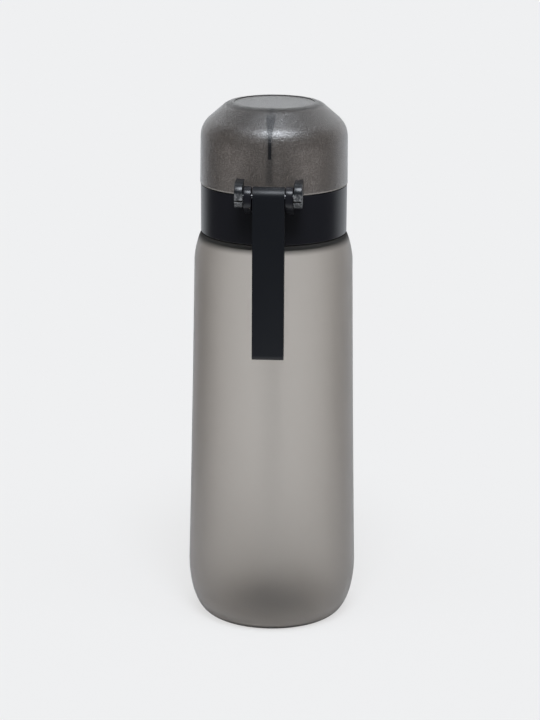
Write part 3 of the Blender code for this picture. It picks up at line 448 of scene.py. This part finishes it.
def combined(piece, other, operation):
    """Joins the other piece on, cuts it out or keeps what both share, and uses it up."""
    step = piece.modifiers.new("Combine", "BOOLEAN")
    step.operation = operation
    step.solver = "EXACT"
    step.object = other
    baked(piece)
    bpy.data.objects.remove(other, do_unlink=True)
    return piece


# %% [markdown]
# ## Flat pieces with soft edges
# Knuckles, ears, the strap and the button are side outlines given a width. A filled 2D curve makes
# such a plate in one step, holes included, and a small bevel then takes the sharpness off its rim.
# %% Give an outline a width
SIDE_VIEW = Matrix(((0, 0, 1, 0), (1, 0, 0, 0), (0, 1, 0, 0), (0, 0, 0, 1)))
FRONT_VIEW = Matrix(((1, 0, 0, 0), (0, 0, -1, 0), (0, 1, 0, 0), (0, 0, 0, 1)))


def plate(name, outlines, width, material, middle=0.0, edge=0.3, view=SIDE_VIEW):
    """A plate of the given width along X, or along Y in the front view. Sizes are in millimetres."""
    curve = bpy.data.curves.new(name, "CURVE")
    curve.dimensions, curve.fill_mode, curve.extrude = "2D", "BOTH", width / 2 * MM
    for outline in outlines:
        spline = curve.splines.new("POLY")
        spline.points.add(len(outline) - 1)
        for point, (across, up) in zip(spline.points, outline):
            point.co = (across * MM, up * MM, 0, 1)
        spline.use_cyclic_u = True
    holder = bpy.data.objects.new(name, curve)
    bpy.context.scene.collection.objects.link(holder)
    graph = bpy.context.evaluated_depsgraph_get()
    flat = bpy.data.meshes.new_from_object(holder.evaluated_get(graph))
    bpy.data.objects.remove(holder, do_unlink=True)
    flat.transform(Matrix.Translation(view @ Vector((0, 0, middle * MM))) @ view)
    shape = bmesh.new()
    shape.from_mesh(flat)
    bmesh.ops.remove_doubles(shape, verts=shape.verts, dist=1e-6)
    bmesh.ops.recalc_face_normals(shape, faces=shape.faces)
    bmesh.ops.dissolve_limit(shape, angle_limit=math.radians(1), verts=shape.verts, edges=shape.edges)
    piece = sealed(name, shape, material)
    if edge:
        bevel = piece.modifiers.new("Edge", "BEVEL")
        bevel.width, bevel.segments, bevel.limit_method = edge * MM, 3, "ANGLE"
        bevel.angle_limit = math.radians(50)
        baked(piece)
    return piece


# %% [markdown]
# ## Pins and their bores
# Two steel pins lie across the bottle, one in the hinge and one in the latch. A pin is a rod with rounded
# ends, and each bore is the same rod cut out, a little thicker, so that what it holds can turn.
# %% Rods, bores and circles
HINGE_Y, HINGE_Z, HINGE_PIN = -38.004, 200.0, 1.0
LATCH_Y, LATCH_Z, LATCH_PIN = 34.3, 190.5, 0.8
PIN_ROOM = 0.2
SIDES = 48  # of a small round


def rod(name, radius, length, across, up, material, edge=0.0):
    """A round rod along X, turned about its own axis, with rounded ends."""
    half = length / 2
    corners = [(0, half, 0), (radius, half, edge), (radius, -half, edge), (0, -half, 0)]
    piece = turned(name, rounded(corners, closed=False), material, segments=SIDES, closed=False)
    place = Matrix.Translation((0, across * MM, up * MM)) @ Matrix.Rotation(math.pi / 2, 4, "Y")
    piece.data.transform(place)
    return piece


def bored(piece, radius, across, up, length):
    """Cuts a round hole along X through a piece."""
    return combined(piece, rod("bore", radius, length, across, up, piece.data.materials[0]), "DIFFERENCE")


def circle(centre_y, centre_z, radius):
    turns = [math.tau * i / SIDES for i in range(SIDES)]
    return [(centre_y + radius * math.cos(t), centre_z + radius * math.sin(t)) for t in turns]


# %% [markdown]
# ## Hanging a piece on the model
# A finished piece rides on a body of the solid model, so that it moves as the solids do. It also names
# the solids it stands for, which are then hidden.
# %% Hang a piece on its body
def placed(piece, body, *nodes, slot):
    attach(piece, body)
    if nodes:
        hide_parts(*nodes)
    print(f"{piece.name}: {len(piece.data.polygons)} faces on {body}")
    return piece


# %% [markdown]
# ## The bottle
# The real one is blown in a mould: a straight neck, a soft shoulder, a long side that tapers a little
# upwards, and a base corner that curls under onto a narrow foot ring. A subdivided cylinder could be
# pulled into this shape, but a spun outline keeps the measured sizes. Solidify gives it the wall, so that
# light can cross two real skins of plastic with air between them.
# %% Draw the bottle's outline
NECK_RADIUS, NECK_TOP = 28.0, 192.6
SIDE_TOP = 164.8  # where the side goes over into the shoulder
CORNER = 24.0  # how high the base corner reaches
FOOT = 28.4  # how far out the corner curls onto the floor
LIP = 31.75  # how far out the shoulder ends, under the collar
BODY_RADIUS, TAPER, HOLLOW = 37.8, 2.8, 0.6
ROUNDNESS = 1.4  # 2 is a quarter of an ellipse, and less is a flatter shoulder
FOOT_RING = [(24.0, 0), (23.2, 0.8), (0, 0.8)]
WALL = 2.2


def side_radius(height):
    share = (height - CORNER) / (SIDE_TOP - CORNER)
    return BODY_RADIUS - TAPER * share - HOLLOW * share * (1 - share)


skin = [(NECK_RADIUS, NECK_TOP), (NECK_RADIUS, SHOULDER)]
for i in range(21):
    rise = math.cos(math.pi / 2 * i / 20)
    out = (1 - rise**ROUNDNESS) ** (1 / ROUNDNESS)
    skin.append((LIP + out * (side_radius(SIDE_TOP) - LIP), SIDE_TOP + (SHOULDER - SIDE_TOP) * rise))
for i in range(1, 16):
    level = SIDE_TOP + (CORNER - SIDE_TOP) * i / 16
    skin.append((side_radius(level), level))
for i in range(25):
    turn = math.pi / 2 * i / 24
    skin.append((FOOT + (BODY_RADIUS - FOOT) * math.cos(turn), CORNER * (1 - math.sin(turn))))
skin += FOOT_RING
print("outline:", len(skin), "points")

# %% Blow the bottle
bottle = turned("frosted_bottle", skin, frosted, segments=144, closed=False)
walled(bottle, WALL)
placed(bottle, "bottle", "bottle_body", slot="frosted_smoke")

# %% [markdown]
# ## Trees that grow a mesh
# What repeats or follows a rule comes from Geometry Nodes: the threads, the ring of air holes and the
# row of grip ribs. Each tree has named inputs for its sizes, and ends by making its instances real and
# giving the mesh its material.
# %% A tree with named sizes
class Growth(Builder):
    """A Geometry Nodes tree. Its inputs are given as their name and the type of their socket."""

    def __init__(self, name, **inputs):
        super().__init__(bpy.data.node_groups.new(name, "GeometryNodeTree"))
        inputs["Material"] = "Material"
        for size, kind in inputs.items():
            self.tree.interface.new_socket(size, in_out="INPUT", socket_type=f"NodeSocket{kind}")
        self.tree.interface.new_socket("Geometry", in_out="OUTPUT", socket_type="NodeSocketGeometry")
        start = self.node("NodeGroupInput")
        self.sizes = {size: start.output(size) for size in inputs}

    def lifted(self, geometry, height):
        rise = self.node("ShaderNodeCombineXYZ", values={"Z": height})
        return self.node("GeometryNodeTransform", values={"Geometry": geometry, "Translation": rise})

    def real(self, instances):
        return self.node("GeometryNodeRealizeInstances", values={0: instances})

    def finished(self, geometry):
        coated = {"Geometry": self.real(geometry), "Material": self.sizes["Material"]}
        self.node("NodeGroupOutput", values={0: self.node("GeometryNodeSetMaterial", values=coated)})
        print(f"{self.tree.name}: {len(self.tree.nodes)} nodes")
        return self.tree


# %% [markdown]
# A modifier's inputs are set by their identifiers and before it is first evaluated. The result is then
# baked into a plain mesh, and the modifier comes off.
# %% Grow a mesh from a tree
def blank(name):
    """A piece with nothing in it yet, for a tree that makes all of it."""
    piece = bpy.data.objects.new(name, bpy.data.meshes.new(name))
    bpy.context.scene.collection.objects.link(piece)
    return piece


def grown(piece, tree, **inputs):
    """Bakes a Geometry Nodes tree on a piece."""
    modifier = piece.modifiers.new("Grow", "NODES")
    modifier.node_group = tree
    for item in tree.interface.items_tree:
        if item.in_out == "INPUT" and item.name in inputs:
            modifier[item.identifier] = inputs[item.name]
    return baked(piece, sharp=40)


# %% [markdown]
# ## The screw thread
# Neck and collar hold each other by a thread that the solids leave out. A thread is a profile swept
# along a helix. The tree takes a radius, a pitch and a number of turns, and the same tree makes the
# thread on the neck and the one inside the collar.
# %% Build the thread's tree
def thread_tree():
    thread = Growth(
        "screw_thread", Radius="Float", Pitch="Float", Turns="Float", Ridge="Float", Bottom="Float",
    )
    sizes = thread.sizes
    helix = thread.node("GeometryNodeCurveSpiral", values={
        "Resolution": 64, "Rotations": sizes["Turns"], "Start Radius": sizes["Radius"],
        "End Radius": sizes["Radius"], "Height": sizes["Pitch"] * sizes["Turns"],
    })
    upright = thread.node("GeometryNodeSetCurveNormal", {"mode": "Z_UP"}, {"Curve": helix})
    ridge = thread.node("GeometryNodeCurvePrimitiveCircle", values={
        "Resolution": 12, "Radius": sizes["Ridge"],
    })
    swept = thread.node("GeometryNodeCurveToMesh", values={
        "Curve": upright, "Profile Curve": ridge, "Fill Caps": True,
    })
    return thread.finished(thread.lifted(swept, sizes["Bottom"]))


# %% Cut the neck's thread
PITCH, TURNS = 4.0, 2.25
THREAD_BOTTOM = 179.6

thread = thread_tree()
neck_thread = grown(
    blank("neck_thread"), thread, Radius=28.15 * MM, Pitch=PITCH * MM, Turns=TURNS, Ridge=0.95 * MM,
    Bottom=THREAD_BOTTOM * MM, Material=clear,
)
placed(neck_thread, "bottle", slot="frosted_smoke")

# %% [markdown]
# ## The screw collar
# A black moulding: a skirt over the neck, a ledge inside that the seals sit on, and a spigot that
# guides the lid. Two webbed knuckles at the back hold the hinge pin and two cheeks at the front hold
# the latch pin. It could be carved from one block, but here each extra is bevelled first and joined
# after, so that its edges stay soft.
# %% Mould the collar
KNUCKLE = 4.2

collar = turned("collar_ring", rounded([
    (32.1, 198.4, 0.35), (32.1, 177.2, 0.5), (30.1, 177.2, 0.2), (30.1, 194.4, 0.3), (26.2, 194.4, 0.2),
    (26.2, 196.0, 0.2), (28.4, 196.0, 0.2), (28.4, 201.0, 0.25), (30.1, 201.0, 0.25), (30.1, 198.4, 0.2),
]), black, segments=144)
for side in (-1, 1):
    knuckle = plate("knuckle", [rounded([
        (HINGE_Y - KNUCKLE, HINGE_Z + KNUCKLE, 4.158), (HINGE_Y - KNUCKLE, HINGE_Z - KNUCKLE, 4.158),
        (-29.78, 190.5, 0), (-29.78, 197.9, 0), (HINGE_Y + KNUCKLE, 197.9, 0),
        (HINGE_Y + KNUCKLE, HINGE_Z + KNUCKLE, 4.158),
    ])], 3.3, black, middle=8.85 * side)
    combined(collar, knuckle, "UNION")
    cheek = plate("cheek", [rounded([
        (29.96, 197.25, 0), (29.96, 183.75, 0), (37.0, 183.75, 2.45), (37.0, 197.25, 2.45),
    ])], 2.0, black, middle=8.3 * side)
    combined(collar, cheek, "UNION")
bored(collar, HINGE_PIN + PIN_ROOM, HINGE_Y, HINGE_Z, length=23)
bored(collar, LATCH_PIN + PIN_ROOM, LATCH_Y, LATCH_Z, length=21)
placed(collar, "collar", "screw_collar", slot="black_plastic")

# %% [markdown]
# The collar's own thread runs between the turns of the neck's. It comes from the same tree, half a
# pitch higher, and rides on the collar, which rises one pitch for each turn.
# %% Cut the collar's thread
collar_thread = grown(
    blank("collar_thread"), thread, Radius=30.05 * MM, Pitch=PITCH * MM, Turns=TURNS, Ridge=0.85 * MM,
    Bottom=(THREAD_BOTTOM + PITCH / 2) * MM, Material=black,
)
placed(collar_thread, "collar", slot="black_plastic")

# %% [markdown]
# ## The drinking head
# Under the lid sits a pale plate with a stem for the spout and a nipple for the straw. The spout is soft
# and slips over the stem. Each could be a stack of cylinders joined together, but one spun outline keeps
# every corner round. The plate has a hole for the air valve.
# %% Mould the head and the spout
head = turned("head_plate", rounded([
    (4.6, 210.0, 0.3), (4.6, 198.8, 0.4), (28.1, 198.8, 0.3), (28.1, 197.4, 0.2), (25.9, 197.4, 0),
    (25.9, 193.0, 0.2), (24.5, 193.0, 0.2), (24.5, 197.4, 0.2), (4.0, 197.4, 0.3), (4.0, 186.0, 0.3),
    (2.6, 186.0, 0.2), (2.6, 210.0, 0.2),
]), pale)
hole_outline = [(0, 200.8), (1.3, 200.8), (1.3, 195.4), (0, 195.4)]
hole = turned("valve_hole", hole_outline, pale, segments=32, closed=False, centre_y=21.8)
combined(head, hole, "DIFFERENCE")
placed(head, "collar", "drink_head", slot="pale_plastic")
spout = turned("drinking_spout", rounded([
    (2.6, 216.4, 0.5), (8.0, 216.4, 2.4), (8.0, 211.9, 1.3), (9.5, 210.6, 0.65), (9.5, 199.1, 0.3),
    (4.9, 199.1, 0.2), (4.9, 210.3, 0.3), (2.6, 210.3, 0.3),
], step=6), soft_spout, segments=96)
placed(spout, "collar", "mouthpiece", slot="pale_silicone")

# %% [markdown]
# ## The straw, the seals and the valve
# The straw is a clear tube, cut on a slant at the bottom so that it can't close against the base. A
# tilted block takes the end off, as a knife would. The seals, the sleeve on the straw and the umbrella
# valve, which lets air in behind the water, keep their solids and only get a finish. So does the spring
# in the latch.
# %% Cut the straw
SLANT, SLANT_HEIGHT = math.atan2(3.0, 7.0), 9.5
BLOCK = 16

tube = turned("straw_tube", [(3.5, 185.4), (3.5, 8.0), (2.5, 8.0), (2.5, 185.4)], clear, segments=SIDES)
block_outline = [(-BLOCK / 2, 0), (BLOCK / 2, 0), (BLOCK / 2, BLOCK), (-BLOCK / 2, BLOCK)]
block = plate("slant", [block_outline], BLOCK, clear, edge=0)
down = Matrix.Translation((0, 0, -BLOCK * MM))
block.data.transform(Matrix.Translation((0, 0, SLANT_HEIGHT * MM)) @ Matrix.Rotation(SLANT, 4, "X") @ down)
combined(tube, block, "DIFFERENCE")
placed(tube, "collar", "straw", slot="clear_plastic")

# %% Finish the small solids
for node, material in (
    ("neck_seal", rubber), ("head_seal", rubber), ("air_valve", rubber), ("straw_sleeve", rubber),
    ("latch_spring", steel),
):
    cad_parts[node].data.materials.clear()
    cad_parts[node].data.materials.append(material)
    print(f"{node}: {material.name}")

# %% [markdown]
# ## The flavour pod
# The pod is a ring-shaped cup round the spout, with a scented felt ring inside and a cap on top. It
# slides up to open its air path. Air comes in through a ring of small holes in the cap, which repeat,
# so a tree stands a pin on each point of a circle and cuts the pins out of the cap.
# %% Build the perforation tree
CUTTER = 6.0  # longer than the cap is thick


def perforation_tree():
    holes = Growth(
        "perforations", Geometry="Geometry", Count="Int", Ring="Float", Hole="Float", Height="Float",
    )
    sizes = holes.sizes
    ring = holes.node("GeometryNodeMeshCircle", values={"Vertices": sizes["Count"], "Radius": sizes["Ring"]})
    pin = holes.node("GeometryNodeMeshCylinder", values={
        "Vertices": 20, "Radius": sizes["Hole"], "Depth": CUTTER * MM,
    })
    stood = holes.node("GeometryNodeInstanceOnPoints", values={"Points": ring, "Instance": pin})
    pins = holes.real(holes.lifted(stood, sizes["Height"]))
    cut_out = {"operation": "DIFFERENCE", "solver": "EXACT"}
    return holes.finished(holes.node("GeometryNodeMeshBoolean", cut_out, {0: sizes["Geometry"], 1: pins}))


# %% Mould the pod
cup = turned("pod_cup", rounded([
    (19.1, 209.3, 0.2), (19.1, 199.1, 1.0), (9.8, 199.1, 0.3), (9.8, 207.5, 0), (11.0, 207.5, 0),
    (11.0, 200.3, 0.3), (17.9, 200.3, 0.5), (17.9, 209.3, 0.2),
]), pod_finish, segments=112)
placed(cup, "pod", "pod_case", slot="pod_plastic")
scent = turned("scent_ring", rounded([
    (17.6, 207.2, 0.5), (17.6, 200.6, 0.5), (11.3, 200.6, 0.5), (11.3, 207.2, 0.5),
]), felt, segments=96)
placed(scent, "pod", "aroma_ring", slot="felt")
cap = turned("pod_cover", rounded([
    (17.6, 209.3, 0.35), (17.6, 207.8, 0), (9.8, 207.8, 0), (9.8, 209.3, 0.35),
]), pod_finish, segments=112)
grown(
    cap, perforation_tree(), Count=12, Ring=13.8 * MM, Hole=0.9 * MM, Height=208.5 * MM,
    Material=pod_finish,
)
placed(cap, "pod", "pod_cap", slot="pod_plastic")

# %% [markdown]
# ## The domed lid
# One clear smoked moulding: a straight side, a rounded corner, a cone and a flat top. Solidify could give
# it an even wall, but this wall changes along its way, so both its sides are drawn and spun. A small
# catch at the front takes the latch.
# %% Spin the dome
dome = turned("smoked_dome", rounded([
    (0, DISC_HEIGHT, 0), (DISC_RADIUS, DISC_HEIGHT, 0.05), (DISC_RADIUS, DOME_TOP, 0.12),
    (20.4, DOME_TOP, 6.84), (32.1, 224.165, 10.8), (DOME_RADIUS, DOME_BOTTOM, 0.3),
    (30.56, DOME_BOTTOM, 0.2), (30.3, 223.343, 9.0), (19.729, 232.5, 5.04), (0, 232.5, 0),
], closed=False, step=4), smoked, segments=144, closed=False)
catch_outline = [(31.23, 199.3), (33.1, 199.3), (33.1, 201.0), (31.23, 201.0)]
combined(dome, plate("catch", [catch_outline], 10.0, smoked, edge=0.2), "UNION")

# %% [markdown]
# Two ears at the back snap over the hinge pin. Each has a bore for the pin and a narrow slot from the
# bore to its back, which lets it spring open. At the end each face is marked as inside or outside, by
# whether it looks towards the middle of the lid.
# %% Add the ears and mark the inside
EAR = 4.4
SLOT_LENGTH, SLOT_HALF, SLOT_DROP = 6.4, 0.5, math.radians(20)
LID_MIDDLE = Vector((0, 0, 205 * MM))

for side in (-1, 1):
    ear = plate("ear", [rounded([
        (HINGE_Y - EAR, 205.9, 5.01), (HINGE_Y - EAR, 195.2, 3.3), (HINGE_Y + EAR, 195.2, 3.3),
        (HINGE_Y + EAR, 199.1, 0), (-28.64, 199.1, 0), (-28.64, 205.9, 0),
    ])], 3.6, smoked, middle=12.6 * side, edge=0.35)
    combined(dome, ear, "UNION")
bored(dome, HINGE_PIN + PIN_ROOM, HINGE_Y, HINGE_Z, length=31)
slot_outline = [(-SLOT_LENGTH, -SLOT_HALF), (0, -SLOT_HALF), (0, SLOT_HALF), (-SLOT_LENGTH, SLOT_HALF)]
for side in (-1, 1):
    slot_cut = plate("ear_slot", [slot_outline], 5.6, smoked, edge=0)
    at_hinge = Matrix.Translation((13.6 * side * MM, HINGE_Y * MM, HINGE_Z * MM))
    slot_cut.data.transform(at_hinge @ Matrix.Rotation(SLOT_DROP, 4, "X"))
    combined(dome, slot_cut, "DIFFERENCE")
marks = dome.data.attributes.new("inside", "FLOAT", "FACE")
for face in dome.data.polygons:
    marks.data[face.index].value = float(face.normal.dot(face.center - LID_MIDDLE) < 0)
placed(dome, "lid", "dome_cover", slot="clear_smoke")

# %% [markdown]
# ## The stopper and its holder
# A black cup under the top of the dome holds a soft pad that closes the spout when the lid is shut. Its
# leg runs down the back wall, close behind the plastic, so it shows sharply through it while the cup,
# further in, blurs. The leg is a side outline cut to the width of a front outline.
# %% Mould the holder
holder = turned("stopper_cup", rounded([
    (0, 222.0, 0), (12.3, 222.0, 0.4), (12.3, 232.2, 0.2), (14.5, 232.2, 0.2), (14.5, 214.4, 0.3),
    (12.3, 214.4, 0.3), (12.3, 219.8, 0.2), (0, 219.8, 0),
], closed=False), black, segments=112, closed=False)
leg = plate("leg", [rounded([
    (-13.4, 232.2, 0), (-19.617, 232.2, 4.74), (-30.0, 223.206, 8.7), (-30.0, 203.2, 0.3),
    (-28.5, 203.2, 0.3), (-28.5, 221.706, 8.7), (-21.696, 227.6, 0), (-13.4, 227.6, 0),
])], 6.0, black, edge=0)
half = [(1.4, 201.2), (1.4, 213.8), (0.65, 215.2), (0.65, 223.206), (1.7, 231.9), (1.7, 234.2)]
other_half = [(-x, z) for x, z in reversed(half)]
front = plate("leg_front", [half + other_half], 32, black, middle=18, edge=0, view=FRONT_VIEW)
combined(leg, front, "INTERSECT")
combined(holder, leg, "UNION")
placed(holder, "lid", "stopper_holder", slot="black_plastic")
pad = turned("stopper_pad", rounded([
    (0, 219.5, 0), (12.0, 219.5, 0.4), (12.0, 216.7, 0.9), (0, 216.7, 0),
], closed=False), rubber, segments=96, closed=False)
placed(pad, "lid", "lid_stopper", slot="grey_silicone")

# %% [markdown]
# ## The carry strap and the hinge pin
# The strap is one flat loop: an eye round the pin and two layers that run down and meet in a fold. A
# profile could follow a curve round the loop, but its layers and its eye differ in thickness, so the side
# outline is drawn, with the gap between the layers and the eye's hole in it. The pin is a steel rod with
# slightly rounded ends.
# %% Make the strap and the pin
EYE = 4.0
LAYER = 1.6
FRONT, BACK = HINGE_Y - EYE, HINGE_Y + 0.7

loop = rounded([
    (FRONT, HINGE_Z + EYE, 3.96), (FRONT, 128.7, 2.3265), (BACK, 128.7, 2.3265), (BACK, 194.4, 1.6),
    (HINGE_Y + EYE, 197.6, 1.6), (HINGE_Y + EYE, HINGE_Z + EYE, 3.96),
])
gap = rounded([
    (FRONT + LAYER, 191.4, 0.7425), (FRONT + LAYER, 130.3, 0.7425), (BACK - LAYER, 130.3, 0.7425),
    (BACK - LAYER, 191.4, 0.7425),
])
eye = circle(HINGE_Y, HINGE_Z, HINGE_PIN + PIN_ROOM)
strap = plate("carry_loop", [loop, gap, eye], 13.6, webbing, middle=0.1, edge=0.35)
placed(strap, "strap", "carry_strap", slot="black_strap")
pin = rod("hinge_rod", HINGE_PIN, 28.4, HINGE_Y, HINGE_Z, steel, edge=0.3)
placed(pin, "collar", "hinge_pin", slot="steel")

# %% [markdown]
# ## The latch
# A rocker at the front: pressed at the bottom, it turns on its pin and its hook swings away from the
# lid's catch. A row of grip ribs repeats down its face, so a tree lays them along a line.
# %% Build the rib tree
def rib_tree():
    grip = Growth(
        "grip_ribs", Geometry="Geometry", Count="Int", Length="Float", Step="Float", Rib="Float",
        Start="Vector",
    )
    sizes = grip.sizes
    step = grip.node("ShaderNodeCombineXYZ", values={"Z": sizes["Step"]})
    row = grip.node("GeometryNodeMeshLine", values={
        "Count": sizes["Count"], "Start Location": sizes["Start"], "Offset": step,
    })
    rib = grip.node("GeometryNodeMeshCylinder", values={
        "Vertices": 16, "Radius": sizes["Rib"], "Depth": sizes["Length"],
    })
    lying = grip.node("GeometryNodeTransform", values={"Geometry": rib, "Rotation": (0, math.pi / 2, 0)})
    ribs = grip.real(grip.node("GeometryNodeInstanceOnPoints", values={"Points": row, "Instance": lying}))
    join = {"operation": "UNION", "solver": "EXACT"}
    return grip.finished(grip.node("GeometryNodeMeshBoolean", join, {1: [sizes["Geometry"], ribs]}))


# %% Mould the rocker
SPRING_ROOM = 1.94

rocker = plate("latch_rocker", [rounded([
    (33.4, 202.4, 0.45), (33.4, 201.3, 0), (34.4, 201.3, 0), (34.4, 194.1, 0.9), (32.5, 192.3, 0.9),
    (32.5, 188.7, 0.9), (33.5, 186.9, 0.9), (33.5, 181.0, 0.9), (36.2, 181.0, 0.9), (37.2, 188.7, 4.75),
    (37.2, 192.3, 4.75), (36.2, 202.4, 0.9),
])], 14.0, black, edge=0.5)
bored(rocker, LATCH_PIN + PIN_ROOM, LATCH_Y, LATCH_Z, length=16)
bored(rocker, SPRING_ROOM, LATCH_Y, LATCH_Z, length=4.44)
grown(
    rocker, rib_tree(), Count=4, Length=9 * MM, Step=1.3 * MM, Rib=0.45 * MM,
    Start=(0, 36.3 * MM, 183.2 * MM), Material=black,
)
placed(rocker, "latch", "latch_button", slot="black_plastic")
latch_rod = rod("latch_rod", LATCH_PIN, 18.6, LATCH_Y, LATCH_Z, steel, edge=0.2)
placed(latch_rod, "collar", "latch_pin", slot="steel")

# %% [markdown]
# ## The studio floor
# A plain pale floor that runs past the edges of the picture. The camera sees it as one pale tone, with
# the bottle's shadow on it. The plastic mirrors more of the room than the picture shows, and the real
# room was bright behind the bottle and dark on the camera's side. So for mirrored light the floor is
# pale only near the bottle and behind it, and light that comes through plastic sees half of that.
# %% Make the floor's finish
PALE = (0.874, 0.871, 0.868)
DARK_SIDE = (-0.07, -0.98, -0.35)
BRIGHT_UP_TO, DARK_FROM = -0.74, -0.34
NEAR, FAR = 140, 420


def lit_side(finish, way):
    """1 for a direction that points well away from the dark side, and 0 towards it."""
    dot = {"operation": "DOT_PRODUCT"}
    towards = finish.node("ShaderNodeVectorMath", dot, {0: way, 1: DARK_SIDE}, output="Value")
    return finish.eased(towards, BRIGHT_UP_TO, DARK_FROM, 1.0, 0.0)


paper = Finish(bpy.data.materials.new("paper_floor"))
place = paper.node("ShaderNodeTexCoord", output="Object")
distance = paper.node("ShaderNodeVectorMath", {"operation": "LENGTH"}, {0: place}, output="Value")
way = paper.node("ShaderNodeVectorMath", {"operation": "NORMALIZE"}, {0: place})
share = paper.maths("MAXIMUM", paper.falling(distance, NEAR, FAR), lit_side(paper, way))
camera_ray = paper.node("ShaderNodeLightPath", output="Is Camera Ray")
through_ray = paper.node("ShaderNodeLightPath", output="Is Transmission Ray")
share = paper.maths("MAXIMUM", share, camera_ray + 0.5 * through_ray)
shadowed = paper.matt(paper.blended(share, (0.06, 0.06, 0.06), (0.80, 0.80, 0.80)))
even = paper.node("ShaderNodeEmission", values={"Color": (*PALE, 1), "Strength": 1.0})
paper.finished(Surface=paper.laid(0.74 * camera_ray + 0.30 * through_ray, shadowed, even))

# %% Lay the floor
REACH = 12.0  # metres

floor_mesh = bpy.data.meshes.new("studio_floor")
square = [(-REACH, -REACH, 0), (REACH, -REACH, 0), (REACH, REACH, 0), (-REACH, REACH, 0)]
floor_mesh.from_pydata(square, [], [(0, 1, 2, 3)])
floor_mesh.materials.append(paper.owner)
floor = bpy.data.objects.new("studio_floor", floor_mesh)
bpy.context.scene.collection.objects.link(floor)
print("floor:", 2 * REACH, "m square")

# %% [markdown]
# ## The sky
# The sky lights the object softly and evenly. The camera sees the floor's tone in it, and gloss and clear
# plastic see a bright backdrop, a little cooler in gloss, which goes dark towards the camera's side. What
# is seen through plastic goes less dark, because the light that a wall scatters comes from all round.
# %% Hang the sky
COOL, WHITE = (0.855, 0.875, 0.897), (1.0, 1.0, 1.0)
SKY_LIGHT = 0.28
MIRRORED_DARK, THROUGH_PLASTIC = 0.06, 0.44

sky = Finish(bpy.data.worlds.new("pale_sky"))
on_camera, in_gloss, through = (
    sky.node("ShaderNodeLightPath", output=f"Is {name} Ray") for name in ("Camera", "Glossy", "Transmission")
)
mirrored = in_gloss + through
seen = sky.maths("MINIMUM", on_camera + mirrored, 1.0)
bright = lit_side(sky, sky.node("ShaderNodeTexCoord", output="Generated"))
room = bright + (1.0 - bright) * (MIRRORED_DARK + THROUGH_PLASTIC * through)
lit = sky.node("ShaderNodeBackground", values={"Color": (*WHITE, 1), "Strength": SKY_LIGHT})
backdrop = sky.blended(through, sky.blended(in_gloss, PALE, COOL), WHITE)
strength = 1.0 - mirrored * (1.0 - room)
shown = sky.node("ShaderNodeBackground", values={"Color": backdrop, "Strength": strength})
bpy.context.scene.world = sky.finished("World", Surface=sky.laid(seen, lit, shown))

# %% [markdown]
# ## The lamps
# Three large soft lamps overhead give the dome its broad highlight and the bottle its faint shadow. They
# are suns with a wide disc, because a sun's light is the same all over the floor, which keeps it even.
# %% Hang the lamps
LAMP_COLOUR = (0.95, 1.0, 1.07)


def lamp(name, azimuth, elevation, width, strength):
    """A wide soft sun. Azimuth 0 is on the camera's side, and grows to the right."""
    light = bpy.data.lights.new(name, "SUN")
    light.angle, light.energy = math.radians(width), strength
    light.color = LAMP_COLOUR
    made = bpy.data.objects.new(name, light)
    made.rotation_euler = (math.radians(90 - elevation), 0, math.radians(azimuth))
    bpy.context.scene.collection.objects.link(made)
    print(f"{name}: {strength} from {elevation} degrees up")


lamp("overhead_middle", azimuth=7, elevation=61, width=26, strength=2.34)
lamp("overhead_left", azimuth=-48, elevation=62, width=30, strength=0.28)
lamp("overhead_right", azimuth=56, elevation=60, width=30, strength=0.28)

# %% [markdown]
# ## The camera
# A long lens about a metre away, 0.4 m up, looking down by almost 16 degrees at the hinge side. A
# shorter lens from nearer by would make the bottle taper more. It leans by a third of a degree.
# %% Set the camera
DISTANCE, HEIGHT = 1.0, 0.4  # metres
STAND, AIM, TILT = math.radians(3.4), math.radians(0.076), math.radians(90 - 15.78)
LEAN = 0.0055  # radians
LENS, SENSOR = 115.85, 36.0

camera_data = bpy.data.cameras.new("camera")
camera_data.lens, camera_data.sensor_width = LENS, SENSOR
camera_data.clip_start, camera_data.clip_end = 0.05, 60
camera = bpy.data.objects.new("camera", camera_data)
bpy.context.scene.collection.objects.link(camera)
camera.location = (DISTANCE * math.sin(STAND), -DISTANCE * math.cos(STAND), HEIGHT)
turn, tilt, lean = (Matrix.Rotation(*by) for by in ((STAND + AIM, 4, "Z"), (TILT, 4, "X"), (LEAN, 4, "Z")))
camera.rotation_euler = (turn @ tilt @ lean).to_euler()
bpy.context.scene.camera = camera
bpy.context.scene.view_settings.view_transform = "Standard"
print("camera at", [round(part, 3) for part in camera.location])
